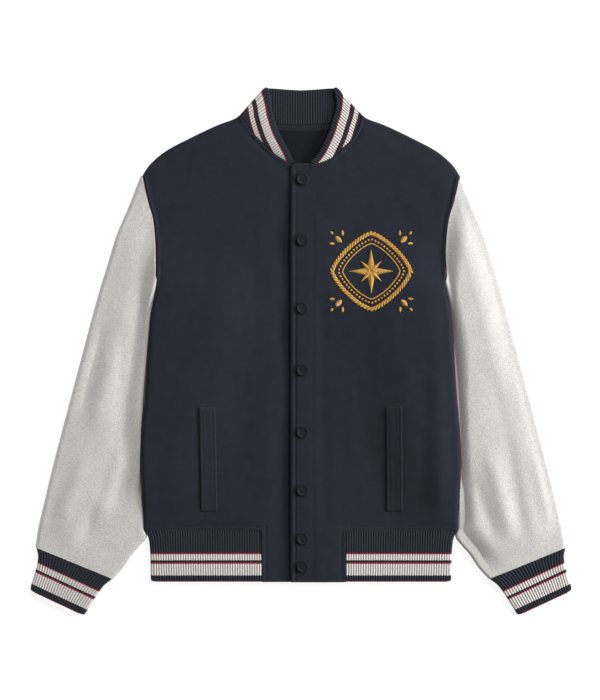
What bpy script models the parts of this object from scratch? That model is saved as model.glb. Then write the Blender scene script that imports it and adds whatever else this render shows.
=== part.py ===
"""Varsity jacket lying flat on its back: melton body, fleece sleeves, striped rib collar, cuffs and hem.

Lengths are millimetres until `add` turns them into metres. X runs to the wearer's left, Y from the hem
(0 at its lower edge) to the collar, and Z up from the surface that the jacket lies on. Panels are drawn
for one side as (across, up), with `across` growing outwards, and mirrored for the other.
"""

from collections import namedtuple

import bmesh
import bpy
import numpy as np
from mathutils.bvhtree import BVHTree

SEAM = 0.3  # between pieces that are sewn to each other
MELTON = 2.4  # wall of the fronts and the back
FLEECE = 2.2  # wall of the sleeves
RIB_WALL = 3.2  # wall of the rib, in its valleys
RIB_HIGH = 0.8  # how far a rib stands over its valleys
BODY_HIGH = 7.2  # the front's outer face over the back's underside
TUCK_HIGH = 5.0  # a sleeve's outer face where it lies behind the body
SLEEVE_HIGH = 7.0  # a sleeve's outer face elsewhere
LIFT = 6.0  # how far the body rides up over the tucked part of a sleeve
LIFT_FLAT = 12.0  # the full lift runs on this far beyond the tucked part
LIFT_FADE = 40.0  # and is gone this much further on
HEM_SEAM = 75.7  # height of the seam between body and hem rib
HEM_ROLL = 3.7  # radius of the hem rib's side folds
CUFF_ROLL = 3.8  # radius of a cuff's edges
LAP = 16.0  # the left front runs this far past the middle
UNDERLAP = 25.0  # and the right front this far beneath it
TAB_LEFT, TAB_RIGHT = 66.0, 58.0  # where the plain hem tab ends, from the middle
HEM_RIBS = {1: 42, -1: 44}  # ribs on each front part of the hem
CUFF_RIBS = 25
COLLAR_RIBS = 34  # on each front half
BACK_RIBS = 25  # on the inside of the collar, between the folds
SNAP_X = 2.3
SNAP_Y = (592.4, 502.7, 402.8, 311.6, 220.5, 135.2, 63.9, 22.8)
BODY_ROLL = BODY_HIGH - MELTON - SEAM
SLEEVE_ROLL = SLEEVE_HIGH - FLEECE - SEAM
TUCK_ROLL = TUCK_HIGH - FLEECE - SEAM
ROLL = (1.0, 0.5, 0.134, 0.0)  # places over a rolled edge, in radii from its outside

Edge = namedtuple("Edge", "across up")
Column = namedtuple("Column", "hem across up rolled")
SleeveRow = namedtuple("SleeveRow", "in_across in_up crease_across crease_up out_across out_up")
CuffRow = namedtuple("CuffRow", "in_across in_up out_across out_up")
CollarLine = namedtuple("CollarLine", "free_across free_up seam_across seam_up")
Fold = namedtuple("Fold", "side x0 y0 x1 y1 width high")

# The side of the body and, above the underarm at 427, the armhole.
SIDE = [Edge(*row) for row in (
    (231.0, 75.7), (231.7, 95), (233, 120), (234.3, 150), (235, 184), (233, 225), (229, 270), (225.6, 320),
    (222.6, 372), (217.6, 408), (214, 427), (213.4, 440), (212.9, 462), (213.2, 486), (214.7, 510),
    (217.9, 534), (225.4, 560), (229.6, 580), (232.2, 592.5), (232.8, 594.8), (233.3, 596.6), (233.6, 597.3))]
UNDERARM = 427.0
SHOULDER = [Edge(*row) for row in (
    (89, 686.8), (96.5, 682), (119.7, 673.4), (144.8, 662), (169.6, 649.8), (194, 637), (206.5, 628.6),
    (217.6, 619), (226.4, 609.2), (233.6, 597.3))]
# How each front's columns run from the hem seam up to the neckline and the shoulder.
LEFT_COLUMNS = [Column(*row) for row in (
    (-16, -14, 614, 0), (-4, -8.4, 616, 0), (14, 13.6, 616, 0), (30, 18.6, 614, 0), (48, 30, 617, 0),
    (66, 45, 623.6, 0), (92, 60, 637.4, 0), (118, 74, 651.5, 0), (141, 83, 669, 0), (157, 89, 686.8, 0.4),
    (165, 96.5, 682, 1), (177, 119.7, 673.4, 1), (190, 144.8, 662, 1), (202, 169.6, 649.8, 1),
    (213, 194, 637, 1), (221, 217.6, 619, 1))]
RIGHT_COLUMNS = [Column(*row) for row in (
    (-25, -25, 607.5, 0), (-4, -4, 609.5, 0), (14, 12, 613, 0), (28, 22, 619, 0), (43, 33, 625.8, 0),
    (58, 44.1, 634.3, 0), (86, 57.3, 647.1, 0), (113, 70, 660, 0), (138, 80.5, 674.5, 0),
    (157, 89, 686.8, 0.4), (165, 96.5, 682, 1), (177, 119.7, 673.4, 1), (190, 144.8, 662, 1),
    (202, 169.6, 649.8, 1), (213, 194, 637, 1), (221, 217.6, 619, 1))]
BACK_COLUMNS = [Column(*row) for row in (
    (0, 0, 672.5, 0), (24, 23, 673.1, 0), (48, 46, 675.2, 0), (72, 68, 677.9, 0), (94, 86.9, 683.4, 0),
    (121, 119.7, 673.4, 0), (143, 144.8, 662, 0), (165, 169.6, 649.8, 0), (187, 194, 637, 0),
    (209, 217.6, 619, 0))]
SLEEVE = [SleeveRow(*row) for row in (
    (150, 385, 214.6, 427, 233.9, 597.3), (157, 361, 218.6, 408, 252, 551), (165, 336, 222.6, 385, 270, 508),
    (174, 309, 226, 352, 283, 465), (183, 282, 229.6, 318, 294, 430), (192, 255, 232.4, 284, 304, 394),
    (201.5, 227, 234.6, 249, 313.2, 360), (210.5, 199, 236, 215, 321.6, 328), (219, 172, 236.2, 184, 329.8, 297),
    (227.6, 143, 237, 152, 338, 266), (232.4, 120, 241, 127, 346.2, 235), (232.6, 100, 241.5, 108, 353.8, 206),
    (232.2, 77.6, 241, 87, 361.1, 178), (229.2, 67.5, 239, 77, 366.8, 155), (238.5, 54, 248, 62, 372.7, 130),
    (249, 42, 259, 49, 378.6, 105), (263, 21.5, 273, 27, 384.4, 80), (278.4, 4.9, 286, 8, 389, 50.3))]
CUFF = [CuffRow(*row) for row in (
    (278.4, 4.5, 388.6, 49.8), (290.5, -5.2, 386.2, 38), (300, -18, 387.4, 26), (311.5, -36, 391.6, 10.5),
    (319, -47.4, 397.8, -10.6))]
# The front neckline of each side, from the placket out to the shoulder. It hangs a little lower on the left.
NECK = {1: [Edge(*row) for row in (
    (18.6, 614), (30, 617), (45, 623.6), (60, 637.4), (74, 651.5), (83, 669), (89, 686.8))],
    -1: [Edge(*row) for row in (
        (12, 613), (22, 619), (33, 625.8), (44.1, 634.3), (57.3, 647.1), (70, 660), (80.5, 674.5),
        (89, 686.8))]}
# Straight lines along the ribs of the collar's front halves, from the fold to the lower end.
COLLAR = {1: [CollarLine(*row) for row in (
    (52, 727.4, 89, 686.8), (52.3, 714, 87, 681), (51.8, 703, 84.5, 673.5), (49.8, 691, 80, 663.2),
    (46, 679, 75, 653.5), (41.5, 664, 66, 643.5), (34.5, 648, 54, 631.9), (26.5, 632.5, 41, 621.8),
    (13.8, 616.9, 20.1, 614.4))],
    -1: [CollarLine(*row) for row in (
        (52, 727.4, 89, 686.8), (47, 715, 85.6, 681.9), (43.8, 703, 80.5, 674.5), (42, 691, 75.5, 667.5),
        (38.6, 678, 68, 658), (33, 662, 57.3, 647.1), (25.5, 647.5, 44.1, 634.3), (17.5, 632.5, 30, 624),
        (10.5, 618, 16.6, 615.8))]}
FOLDS = [Fold(*row) for row in (
    (-1, -232, 500, -246, 385, 15, -1.0), (-1, -252, 478, -272, 372, 14, 1.6),
    (-1, -268, 318, -292, 226, 15, 2.6), (-1, -300, 330, -318, 250, 14, -1.0),
    (-1, -262, 190, -300, 100, 13, 1.8), (-1, -322, 170, -352, 92, 14, 1.4), (-1, -283, 150, -318, 62, 9, -0.9),
    (1, 246, 330, 256, 236, 12, 2.0), (1, 268, 300, 304, 205, 13, -1.0), (1, 292, 302, 322, 212, 15, 2.4),
    (1, 306, 196, 326, 96, 11, -0.9), (1, 272, 172, 302, 70, 13, 2.2), (1, 246, 470, 276, 392, 15, 1.3),
    (1, 340, 150, 360, 84, 11, 1.3))]
TUCKED = np.array([(150, 385), (214, 427), (222, 372), (229, 270), (235, 184), (233.5, 127), (219, 172),
                   (192, 255), (174, 309)], float)


def smooth(t):
    """An even rise from 0 to 1."""
    t = np.clip(t, 0, 1)
    return t * t * (3 - 2 * t)


def mix(a, b, t):
    return a + (b - a) * t


def off_tucked(x, y):
    """How far points are from the part of a sleeve that lies behind the body, 0 inside it."""
    p = np.stack(np.broadcast_arrays(np.abs(x), y), -1).astype(float)
    best, inside = np.full(p.shape[:-1], 1e9), np.zeros(p.shape[:-1], bool)
    for a, b in zip(TUCKED, np.roll(TUCKED, -1, axis=0)):
        d = b - a
        t = np.clip(((p - a) @ d) / (d @ d), 0, 1)
        best = np.minimum(best, np.linalg.norm(p - a - t[..., None] * d, axis=-1))
        crosses = (a[1] > p[..., 1]) != (b[1] > p[..., 1])
        inside ^= crosses & (p[..., 0] < a[0] + d[0] * (p[..., 1] - a[1]) / (d[1] or 1e-9))
    return np.where(inside, 0.0, best)


def lift(x, y):
    """How far the body's layers are raised at a point."""
    return LIFT * smooth(1 - np.maximum(off_tucked(x, y) - LIFT_FLAT, 0) / LIFT_FADE)


def front_top(side, across, up):
    """Outer face of a front: the right one dips towards the middle and the left one rides over it."""
    z = BODY_HIGH + lift(across, up)
    if side > 0:
        return z + 1.6 * smooth((58 - across) / 26)
    ridge = 1.0 * np.exp(-(((across - 44) / 13) ** 2)) * smooth((470 - up) / 160)
    return z + ridge - 1.2 * smooth((36 - across) / 18)


def side_across(up):
    return np.interp(up, [e.up for e in SIDE], [e.across for e in SIDE])


def rounded(p, drop_u, drop_v, out_u, out_v, roll, thick):
    """Outer and inner points of a wall whose edges roll down.

    drop_u and drop_v are the sines of how far each point is round the side and the top roll.
    """
    fall = roll * (2 - np.sqrt(1 - drop_u**2) - np.sqrt(1 - drop_v**2))
    outer = p.copy()
    outer[..., 2] -= fall
    normal = out_u * drop_u[..., None] + out_v * drop_v[..., None]
    flat = np.sqrt(np.clip(1 - (normal**2).sum(-1), 0, 1))
    normal = np.concatenate([normal, flat[..., None]], -1)
    normal /= np.linalg.norm(normal, axis=-1, keepdims=True)
    return outer, outer - thick * normal


def body_plan(columns, left_edge):
    """Plan of a front or a half back: rows up the side, columns from the middle to the side's roll."""
    ups = np.array([e.up for e in SIDE])[: -3]
    v = (ups - ups[0]) / (ups[-1] - ups[0])
    hem = np.array([c.hem for c in columns] + [SIDE[0].across - BODY_ROLL], float)
    top = np.array([(c.across, c.up) for c in columns], float)
    slope = np.gradient(top[:, 1], top[:, 0])
    rolled = np.array([c.rolled for c in columns])
    top[:, 1] -= BODY_ROLL * np.where(rolled > 0.5, np.sqrt(1 + slope**2), 1.0)
    top = np.vstack([top, (side_across(ups[-1]) - BODY_ROLL, ups[-1] + 3.5)])
    u = (hem - hem[0]) / (hem[-1] - hem[0])
    low = np.stack([hem, np.full(len(hem), ups[0])], -1)
    start = np.stack([left_edge(v), ups[0] + v * (top[0, 1] - ups[0])], -1)
    start[-1] = top[0]
    end = np.stack([side_across(ups) - BODY_ROLL, ups + 3.5 * v], -1)
    U, V = u[None, :, None], v[:, None, None]
    corners = (1 - U) * (1 - V) * low[0] + U * (1 - V) * low[-1] + (1 - U) * V * top[0] + U * V * top[-1]
    return (1 - V) * low[None] + V * top[None] + (1 - U) * start[:, None] + U * end[:, None] - corners


def front(side):
    """Outer and inner grids of a front with its tab, and which cells it keeps."""
    columns = LEFT_COLUMNS if side > 0 else RIGHT_COLUMNS
    middle = columns[0].hem
    if side > 0:
        plan = body_plan(columns, lambda v: middle + 2.0 * smooth((v - 0.97) / 0.03))
    else:
        plan = body_plan(columns, lambda v: np.full(len(v), float(middle)))
    rows = len(plan)
    ups = np.array([e.up for e in SIDE])
    # the side's roll: three more columns outside the last one
    rolls = np.array(ROLL[1:])
    side_cols = np.stack([np.stack([side_across(ups[:rows]) - r * BODY_ROLL, mix(plan[:, -1, 1], ups[:rows],
                          1 - r)], -1) for r in rolls], 1)
    plan = np.concatenate([plan, side_cols], 1)
    # the shoulder's roll: three more rows above the last one
    rolled = np.array([c.rolled for c in columns] + [1] * 4)
    last = plan[-1]
    edge = last.copy()
    n = len(columns)
    edge[:n] = [(c.across, c.up) for c in columns]
    edge[n:, 0] = side_across(ups[-1]) - np.array(ROLL) * BODY_ROLL
    edge[n:, 1] = np.interp(edge[n:, 0], [e.across for e in SHOULDER], [e.up for e in SHOULDER])
    top_rows = np.stack([mix(last, edge, 1 - r) for r in rolls])
    for k, up in enumerate(ups[-3:]):  # the armhole's own line past the roll
        top_rows[k, -1] = (side_across(up), up)
    top_rows[:, 0, 0] = plan[-1, 0, 0]
    plan = np.concatenate([plan, top_rows])
    # tab
    tab = TAB_LEFT if side > 0 else TAB_RIGHT
    low = plan[0]
    down = np.stack([np.stack([low[:, 0], np.full(len(low), h)], -1) for h in (0.0, 37.5)])
    plan = np.concatenate([down, plan])
    across, up = plan[..., 0], plan[..., 1]
    points = np.stack([across, up, front_top(side, across, up)], -1)
    drop_u, drop_v = np.zeros(across.shape), np.zeros(across.shape)
    at = np.concatenate([[HEM_SEAM, HEM_SEAM], ups])[: len(plan)]
    drop_u[:, -4:] = (at <= UNDERARM + 0.1)[:, None] * (1 - np.array(ROLL))
    drop_v[-4:] = rolled[None] * (1 - np.array(ROLL))[:, None]
    drop_v[:, -4:] *= np.where(at <= UNDERARM + 0.1, 0, 1)[:, None]
    slope = np.gradient(plan[-1, :, 1], plan[-1, :, 0])
    out_v = np.stack([-slope, np.ones(len(slope))], -1) / np.sqrt(1 + slope**2)[:, None]
    out_v = np.where(rolled[:, None] > 0, out_v, [0, 1])
    outer, inner = rounded(points, drop_u, drop_v, np.array([1.0, 0.0]), out_v[None], BODY_ROLL, MELTON)
    keep = np.ones((len(plan) - 1, plan.shape[1] - 1), bool)
    keep[:2] = (low[1:, 0] <= tab + 0.01)[None]
    for grid in (outer, inner):
        grid[..., 0] *= side
    return outer, inner, keep


def back():
    half = body_plan(BACK_COLUMNS, lambda v: np.zeros(len(v)))
    ups = np.array([e.up for e in SIDE])
    rows = half.shape[0]
    half[:, -1] = np.stack([side_across(ups[:rows]), ups[:rows]], -1)
    top = half[-1].copy()
    top[:-1] = [(c.across, c.up) for c in BACK_COLUMNS]
    top[-1] = (SIDE[-1].across, SIDE[-1].up)
    extra = mix(half[-1], top, 0.5)
    extra[-1] = (side_across(ups[-3]), ups[-3])
    half = np.concatenate([half, extra[None], top[None]])
    other = half[:, :0:-1] * [-1, 1]
    plan = np.concatenate([other, half], 1)
    z = lift(plan[..., 0], plan[..., 1])[..., None]
    return np.concatenate([plan, z + MELTON], -1), np.concatenate([plan, z], -1)


def fold_height(side, x, y):
    """Folds of a sleeve: a soft ridge or trough along each straight line of the table."""
    z = np.zeros(np.shape(x))
    for f in FOLDS:
        if f.side == side:
            a, d = np.array([abs(f.x0), f.y0]), np.array([abs(f.x1) - abs(f.x0), f.y1 - f.y0], float)
            long = np.linalg.norm(d)
            along = ((x - a[0]) * d[0] + (y - a[1]) * d[1]) / long
            off = ((x - a[0]) * d[1] - (y - a[1]) * d[0]) / long
            ends = smooth((along + 25) / 45) * smooth((long + 25 - along) / 45)
            z = z + f.high * ends * np.exp(-((off / f.width) ** 2))
    return z


def sleeve_plan():
    """Plan of a sleeve: mouth and armhole first, cuff seam last; from the inner edge to the outer."""
    table = np.array(SLEEVE, float)
    inner, crease, outer = table[:, 0:2], table[:, 2:4], table[:, 4:6]
    ups = [e.up for e in SIDE if e.up > UNDERARM]
    cap = np.array([(side_across(u) + SEAM, u) for u in ups])
    cap_inner, cap_roll = cap[:-3], cap[-3:]
    # tucked strip: roll, one column between, crease
    toward = crease - inner
    toward /= np.linalg.norm(toward, axis=1, keepdims=True)
    strip = [inner + r * TUCK_ROLL * toward for r in ROLL[::-1]]
    strip.append(mix(inner, crease, 0.5))
    strip.append(crease)
    # visible part, blended between its four sides
    along = np.gradient(outer, axis=0)
    along /= np.linalg.norm(along, axis=1, keepdims=True)
    out = np.stack([-along[:, 1], along[:, 0]], -1)
    cuff = (outer[-1] - crease[-1]) / np.linalg.norm(outer[-1] - crease[-1])
    out[-1] = cuff
    edge = outer - SLEEVE_ROLL * out
    edge[0] = cap_inner[-1]
    steps = np.concatenate([[0], np.cumsum(np.linalg.norm(np.diff(np.vstack([crease[:1], cap_inner]), axis=0),
                                                        axis=1))])
    u = (steps / steps[-1])[1:]
    v = np.linspace(0, 1, len(outer))
    U, V = u[None, :, None], v[:, None, None]
    top, low = cap_inner[None], mix(crease[-1], edge[-1], u[:, None])[None]
    corners = ((1 - U) * (1 - V) * crease[0] + U * (1 - V) * cap_inner[-1] + (1 - U) * V * crease[-1]
               + U * V * edge[-1])
    seen = (1 - V) * top + V * low + (1 - U) * crease[:, None] + U * edge[:, None] - corners
    rolls = []
    for k, r in enumerate(ROLL[1:]):
        column = outer - r * SLEEVE_ROLL * out
        column[0] = cap_roll[k]
        rolls.append(column)
    return np.stack(strip, 1), seen, np.stack(rolls, 1), out


def sleeve(side):
    """Outer and inner grids of the top sleeve, and upper and lower grids of the under sleeve."""
    strip, seen, rolls, out = sleeve_plan()
    plan = np.concatenate([strip, seen, rolls], 1)
    rows, cols = plan.shape[:2]
    first = strip.shape[1] - 1  # the crease's column
    x, y = plan[..., 0], plan[..., 1]
    a = np.linalg.norm(plan - plan[:, first:first + 1], axis=-1) * (np.arange(cols) > first)
    e = np.linalg.norm(plan - plan[:, -1:], axis=-1)
    cap = np.linalg.norm(plan - plan[:1], axis=-1)
    near = smooth(1 - cap / 45) * (np.arange(cols) > first)
    own = TUCK_HIGH + (SLEEVE_HIGH - TUCK_HIGH) * smooth(a / 32)
    raised = lift(x[:1], y[:1]) * (np.arange(cols) > first)
    plain = mix(own, SLEEVE_HIGH, near) + raised * near
    folds = fold_height(side, x, y) * smooth(a / 22) * smooth((e - SLEEVE_ROLL) / 20) * (1 - near)
    folds = folds * smooth((np.linalg.norm(plan - plan[-1:], axis=-1)) / 30)
    points = np.stack([x, y, plain], -1)
    # rolls at both edges; the plan keeps the armhole and cuff lines straight there
    outer, inner = points.copy(), points.copy()
    inner[..., 2] -= FLEECE
    ins = strip[:, 5] - strip[:, 0]
    ins /= np.linalg.norm(ins, axis=1, keepdims=True)
    for k, r in enumerate(ROLL[::-1]):
        s, c = 1 - r, np.sqrt(1 - (1 - r) ** 2)
        outer[:, k, 2] = TUCK_HIGH - TUCK_ROLL * (1 - c)
        inner[:, k, :2] = plan[:, k] + FLEECE * s * ins
        inner[:, k, 2] = outer[:, k, 2] - FLEECE * c
    for k, r in enumerate(ROLL):
        j, s, c = cols - 4 + k, 1 - r, np.sqrt(1 - (1 - r) ** 2)
        outer[:, j, 2] = plain[:, -1] - SLEEVE_ROLL * (1 - c)
        away = out.copy()
        away[0] = np.array([0.37, 0.93])
        inner[:, j, :2] = plan[:, j] - FLEECE * s * away
        inner[:, j, 2] = outer[:, j, 2] - FLEECE * c
    outer[..., 2] += folds
    under = np.concatenate([plan[:, [0, 4]], plan[:, 5:-3], plan[:, -1:]], 1)
    base = (raised * near)[:, [0, 4, *range(5, cols - 3), cols - 1]]
    upper = np.concatenate([under, (base + FLEECE)[..., None]], -1)
    lower = np.concatenate([under, base[..., None]], -1)
    for grid in (outer, inner, upper, lower):
        grid[..., 0] *= side
    return outer, inner, upper, lower


def rib_wave(n):
    """Valley, top, valley … for n ribs: 2n + 1 heights."""
    return RIB_HIGH * (np.arange(2 * n + 1) % 2)


def cuff(side):
    """A flattened tube of rib: grids that close on themselves across the columns."""
    up_cols = 2 * CUFF_RIBS + 2
    outer_rows, inner_rows = [], []
    for row in CUFF:
        a, b = np.array([row.in_across, row.in_up]), np.array([row.out_across, row.out_up])
        d = (b - a) / np.linalg.norm(b - a)
        a2, b2 = a + CUFF_ROLL * d, b - CUFF_ROLL * d
        t = np.linspace(0, 1, up_cols + 1)
        wave = RIB_HIGH * (np.arange(up_cols + 1) % 2)
        top = [(*mix(a2, b2, k), 2 * CUFF_ROLL + w) for k, w in zip(t, wave)]
        arc = np.radians([45, 0, -45])
        right = [(*(b2 + CUFF_ROLL * np.cos(g) * d), CUFF_ROLL * (1 + np.sin(g))) for g in arc]
        bottom = [(*mix(b2, a2, k), 0.0) for k in np.linspace(0, 1, 13)]
        left = [(*(a2 - CUFF_ROLL * np.cos(g) * d), CUFF_ROLL * (1 + np.sin(g))) for g in -arc]
        outer_rows.append(top + right + bottom + left)
        top = [(*mix(a2, b2, k), 2 * CUFF_ROLL - RIB_WALL) for k in t[::4]]
        inner_rows.append(top + [(*mix(b2, a2, k), RIB_WALL) for k in np.linspace(0, 1, 4)])
    outer, inner = np.array(outer_rows), np.array(inner_rows)
    for grid in (outer, inner):
        grid[..., 0] *= side
    return outer, inner


def hem_side(up):
    return np.interp(up, [0, 37, HEM_SEAM], [220.0, 221.0, 225.0])


def hem():
    """One band of rib from the left tab, round behind the back, to the right tab."""
    outer_rows, inner_rows = [], []
    for up in (HEM_SEAM - SEAM, 37.5, 0.0):
        edge = hem_side(up) - HEM_ROLL
        outer, inner = [], []
        for side, tab in ((1, TAB_LEFT + SEAM), (-1, TAB_RIGHT + SEAM)):
            n = HEM_RIBS[side]
            xs = np.linspace(tab, edge, 2 * n + 1)
            part = [(side * x, up, 2 * HEM_ROLL + w) for x, w in zip(xs, rib_wave(n))]
            plain = [(side * x, up, 2 * HEM_ROLL - RIB_WALL) for x in xs[::4]]
            arc = np.radians([45, 0, -45])
            part += [(side * (edge + HEM_ROLL * np.cos(g)), up, HEM_ROLL * (1 + np.sin(g))) for g in arc]
            if side > 0:
                outer += part + [(x, up, 0.0) for x in np.linspace(edge, -edge, 17)]
                inner += plain + [(x, up, RIB_WALL) for x in np.linspace(edge, -edge, 5)]
            else:
                outer += part[::-1]
                inner += plain[::-1]
        outer_rows.append(outer)
        inner_rows.append(inner)
    return np.array(outer_rows), np.array(inner_rows)


def collar():
    """One band of rib: its back half on the surface, folded at the neck points, its ends at the front."""
    fold_free, fold_seam = np.array(COLLAR[1][0][0:2]), np.array(COLLAR[1][0][2:4])
    ahead = (fold_free - fold_seam) / np.linalg.norm(fold_free - fold_seam)
    away = np.array([ahead[1], -ahead[0]])  # the way that the fold faces
    low_r, high_r = 3.8, 4.7  # the fold's radius at the seam and at the free edge
    back_seam = np.array([(c.across, c.up) for c in BACK_COLUMNS[:5]])
    back_free = np.array([Edge(0, 722.6), Edge(30, 723.4), Edge(46, 724.6), Edge(53, 725)])

    def front_half(side, t, roll):
        """A front half's outer and inner points a share t of the way from the seam to the free edge."""
        lines = np.array(COLLAR[side], float)
        free, seam = lines[:, 0:2], lines[:, 2:4]
        run = np.concatenate([[0], np.cumsum(np.linalg.norm(np.diff(seam, axis=0), axis=1))])
        run /= run[-1]
        s = np.linspace(0, 1, 2 * COLLAR_RIBS + 1)
        edge = np.stack([np.interp(s, run, free[:, k]) for k in (0, 1)], -1)
        up = np.interp(s, run, seam[:, 1])
        sewn = np.stack([np.interp(up, [e.up for e in NECK[side]], [e.across for e in NECK[side]]), up], -1)
        off = edge - sewn
        sewn = sewn + SEAM * 1.3 * off / np.linalg.norm(off, axis=1, keepdims=True)
        plan = mix(sewn, edge, t) - (roll * away)[None] * smooth(1 - s / 0.12)[:, None]
        seam_z = np.interp(s, [0, 0.15, 0.8, 1], [2 * low_r, 7.5, 7.5, 8.6 if side > 0 else 6.6])
        free_z = np.interp(s, [0, 0.3, 0.8, 1], [2 * high_r, 9.2, 8.8, 8.9 if side > 0 else 7.2])
        z = mix(seam_z, free_z, t)
        return (np.column_stack([side * plan[:, 0], plan[:, 1], z + rib_wave(COLLAR_RIBS)]),
                np.column_stack([side * plan[:, 0], plan[:, 1], z - RIB_WALL]))

    def band(t):
        """Points along the whole band a share t of the way from the seam to the free edge."""
        roll = mix(low_r, high_r, t)
        centre = mix(fold_seam + SEAM * 1.3 * ahead, fold_free, t) - roll * away
        arc = np.radians([54, 18, -18, -54])
        fold = np.array([(*(centre + roll * np.cos(g) * away), roll * (1 + np.sin(g))) for g in arc])
        small = roll - RIB_WALL
        fold_in = np.array([(*(centre + small * np.cos(g) * away), roll + small * np.sin(g)) for g in arc])
        # the back half fans out beside each fold, and has straight ribs between
        fan = np.array([1, 0.66, 0.33])
        mid = np.linspace(46, 0, BACK_RIBS + 1)
        seam_x = np.concatenate([mix(46.0, fold_seam[0] - 3.1, fan), mid])
        free_x = np.concatenate([mix(46.0, fold_free[0] - high_r * away[0], fan), mid])
        low = np.column_stack([seam_x, np.interp(seam_x, back_seam[:, 0], back_seam[:, 1]) + SEAM])
        high = np.column_stack([free_x, np.interp(free_x, back_free[:, 0], back_free[:, 1])])
        half = mix(low, high, t)
        half[0] = centre
        half = np.vstack([half, half[-2::-1] * [-1, 1]])
        wave = np.concatenate([np.zeros(3), rib_wave(BACK_RIBS), np.zeros(3)])
        bottom = np.column_stack([half, np.zeros(len(half))])
        top = np.column_stack([half, RIB_WALL + wave])
        (left, left_in), (right, right_in) = front_half(1, t, roll), front_half(-1, t, roll)
        mirror = [-1, 1, 1]
        return (np.vstack([left[::-1], fold, bottom, (fold * mirror)[::-1], right]),
                np.vstack([left_in[::-1], fold_in, top, (fold_in * mirror)[::-1], right_in]))

    rows = [band(t) for t in (0.0, 0.5, 1.0)]
    return np.array([r[0] for r in rows]), np.array([r[1] for r in rows])


def wall(outer, inner, keep=None, wrap=False):
    """Vertices and faces of the closed wall between two grids.

    The inner grid may have fewer columns; `keep` says which cells the wall has; `wrap` closes it on itself.
    """
    rows, cols = outer.shape[:2]
    few = inner.shape[1]
    step = cols // few if wrap else (cols - 1) // (few - 1)
    cells, few_cells = (cols, few) if wrap else (cols - 1, few - 1)
    keep = np.ones((rows - 1, cells), bool) if keep is None else keep

    def a(i, j):
        return int(i * cols + j % cols)

    def b(i, j):
        return int(rows * cols + i * few + j % few)

    faces = []
    for i in range(rows - 1):  # both faces are split along the same diagonal
        for j in range(cells):
            if keep[i][j]:
                faces += [(a(i, j), a(i, j + 1), a(i + 1, j + 1)), (a(i, j), a(i + 1, j + 1), a(i + 1, j))]
    edges = {(f[k], f[(k + 1) % 3]) for f in faces for k in range(3)}
    for i in range(rows - 1):
        for j in range(few_cells):
            if keep[i][j * step]:
                faces += [(b(i, j), b(i + 1, j + 1), b(i, j + 1)), (b(i, j), b(i + 1, j), b(i + 1, j + 1))]
    if step == 1:
        faces += [(q, p, p + rows * cols, q + rows * cols) for p, q in sorted(edges) if (q, p) not in edges]
    else:
        for i in (0, rows - 1):
            for j in range(few_cells):
                p, q, half = b(i, j), b(i, j + 1), step // 2
                for k in range(step):
                    faces.append((p if k < half else q, a(i, j * step + k), a(i, j * step + k + 1)))
                faces.append((p, a(i, j * step + half), q))
        if not wrap:
            for j, m in ((0, 0), (cells, few_cells)):
                faces += [(a(i, j), a(i + 1, j), b(i + 1, m), b(i, m)) for i in range(rows - 1)]
    return np.concatenate([outer.reshape(-1, 3), inner.reshape(-1, 3)]), faces


def solid(name, grids, colour, roughness, metallic=0.0, keep=None, wrap=False):
    """A sub-part ready to be placed."""
    points, faces = wall(*grids, keep=keep, wrap=wrap)
    return name, points, faces, colour, roughness, metallic


def surface(points, faces):
    return BVHTree.FromPolygons([tuple(p) for p in points], faces)


def above(tree, x, y):
    """Height of a piece's upper face at a point, the highest of a few close by."""
    hits = [tree.ray_cast((x + dx, y + dy, 60.0), (0, 0, -1))[0] for dx, dy in
            ((0, 0), (1.5, 0), (-1.5, 0), (0, 1.5), (0, -1.5))]
    return max(h.z for h in hits if h is not None)


def welt(side, tree):
    """A pocket welt on a front, its outer edge standing a little off where the hand goes in."""
    across = np.array([149.2, 148.0, 137.0, 126.4, 125.2])
    ups = np.linspace(103.4, 257.0, 9)
    tilt = np.where(side < 0, 2.8, -1.2) * (ups - ups[0]) / (ups[-1] - ups[0]) - np.where(side < 0, 2.4, 0)
    thick = np.array([1.3, 2.0, 2.2, 2.0, 1.3])
    off = np.array([1.5, 1.4, 0.8, 0.4, 0.35])
    outer, inner = [], []
    for up, t in zip(ups, tilt):
        xs = side * (across + t)
        floor = np.array([above(tree, x, up) for x in xs]) + off
        inner.append(np.column_stack([xs, np.full(5, up), floor]))
        outer.append(np.column_stack([xs, np.full(5, up), floor + thick]))
    return np.array(outer), np.array(inner)


def tape():
    """The band that covers the back neck seam, on the inside of the back."""
    xs = np.linspace(-70, 70, 11)
    top = np.interp(np.abs(xs), [c.across for c in BACK_COLUMNS[:5]], [c.up for c in BACK_COLUMNS[:5]]) - 0.5
    rows = [np.column_stack([xs, top - d, np.full(11, MELTON + SEAM)]) for d in (0.0, 10.2)]
    lower = np.array(rows)
    return lower + [0, 0, 0.9], lower


def snap(name, y, tree):
    """A snap's cap: a turned disc with a raised rim, standing on the left front."""
    sides = 14
    z = above(tree, SNAP_X, y) + SEAM
    profile = ((8.1, 0.0), (8.5, 0.9), (8.1, 2.2), (7.2, 2.6), (6.3, 2.0), (2.8, 1.9))
    angles = np.arange(sides) * 2 * np.pi / sides
    rings = [np.column_stack([SNAP_X + r * np.cos(angles), y + r * np.sin(angles), np.full(sides, z + h)])
             for r, h in profile]
    points = np.concatenate(rings)
    faces = [tuple(range(sides))[::-1], tuple(range(5 * sides, 6 * sides))]
    for k in range(5):
        faces += [(k * sides + i, k * sides + (i + 1) % sides, (k + 1) * sides + (i + 1) % sides,
                   (k + 1) * sides + i) for i in range(sides)]
    return name, points, faces, (0.03, 0.034, 0.045), 0.55, 0.0


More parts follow.
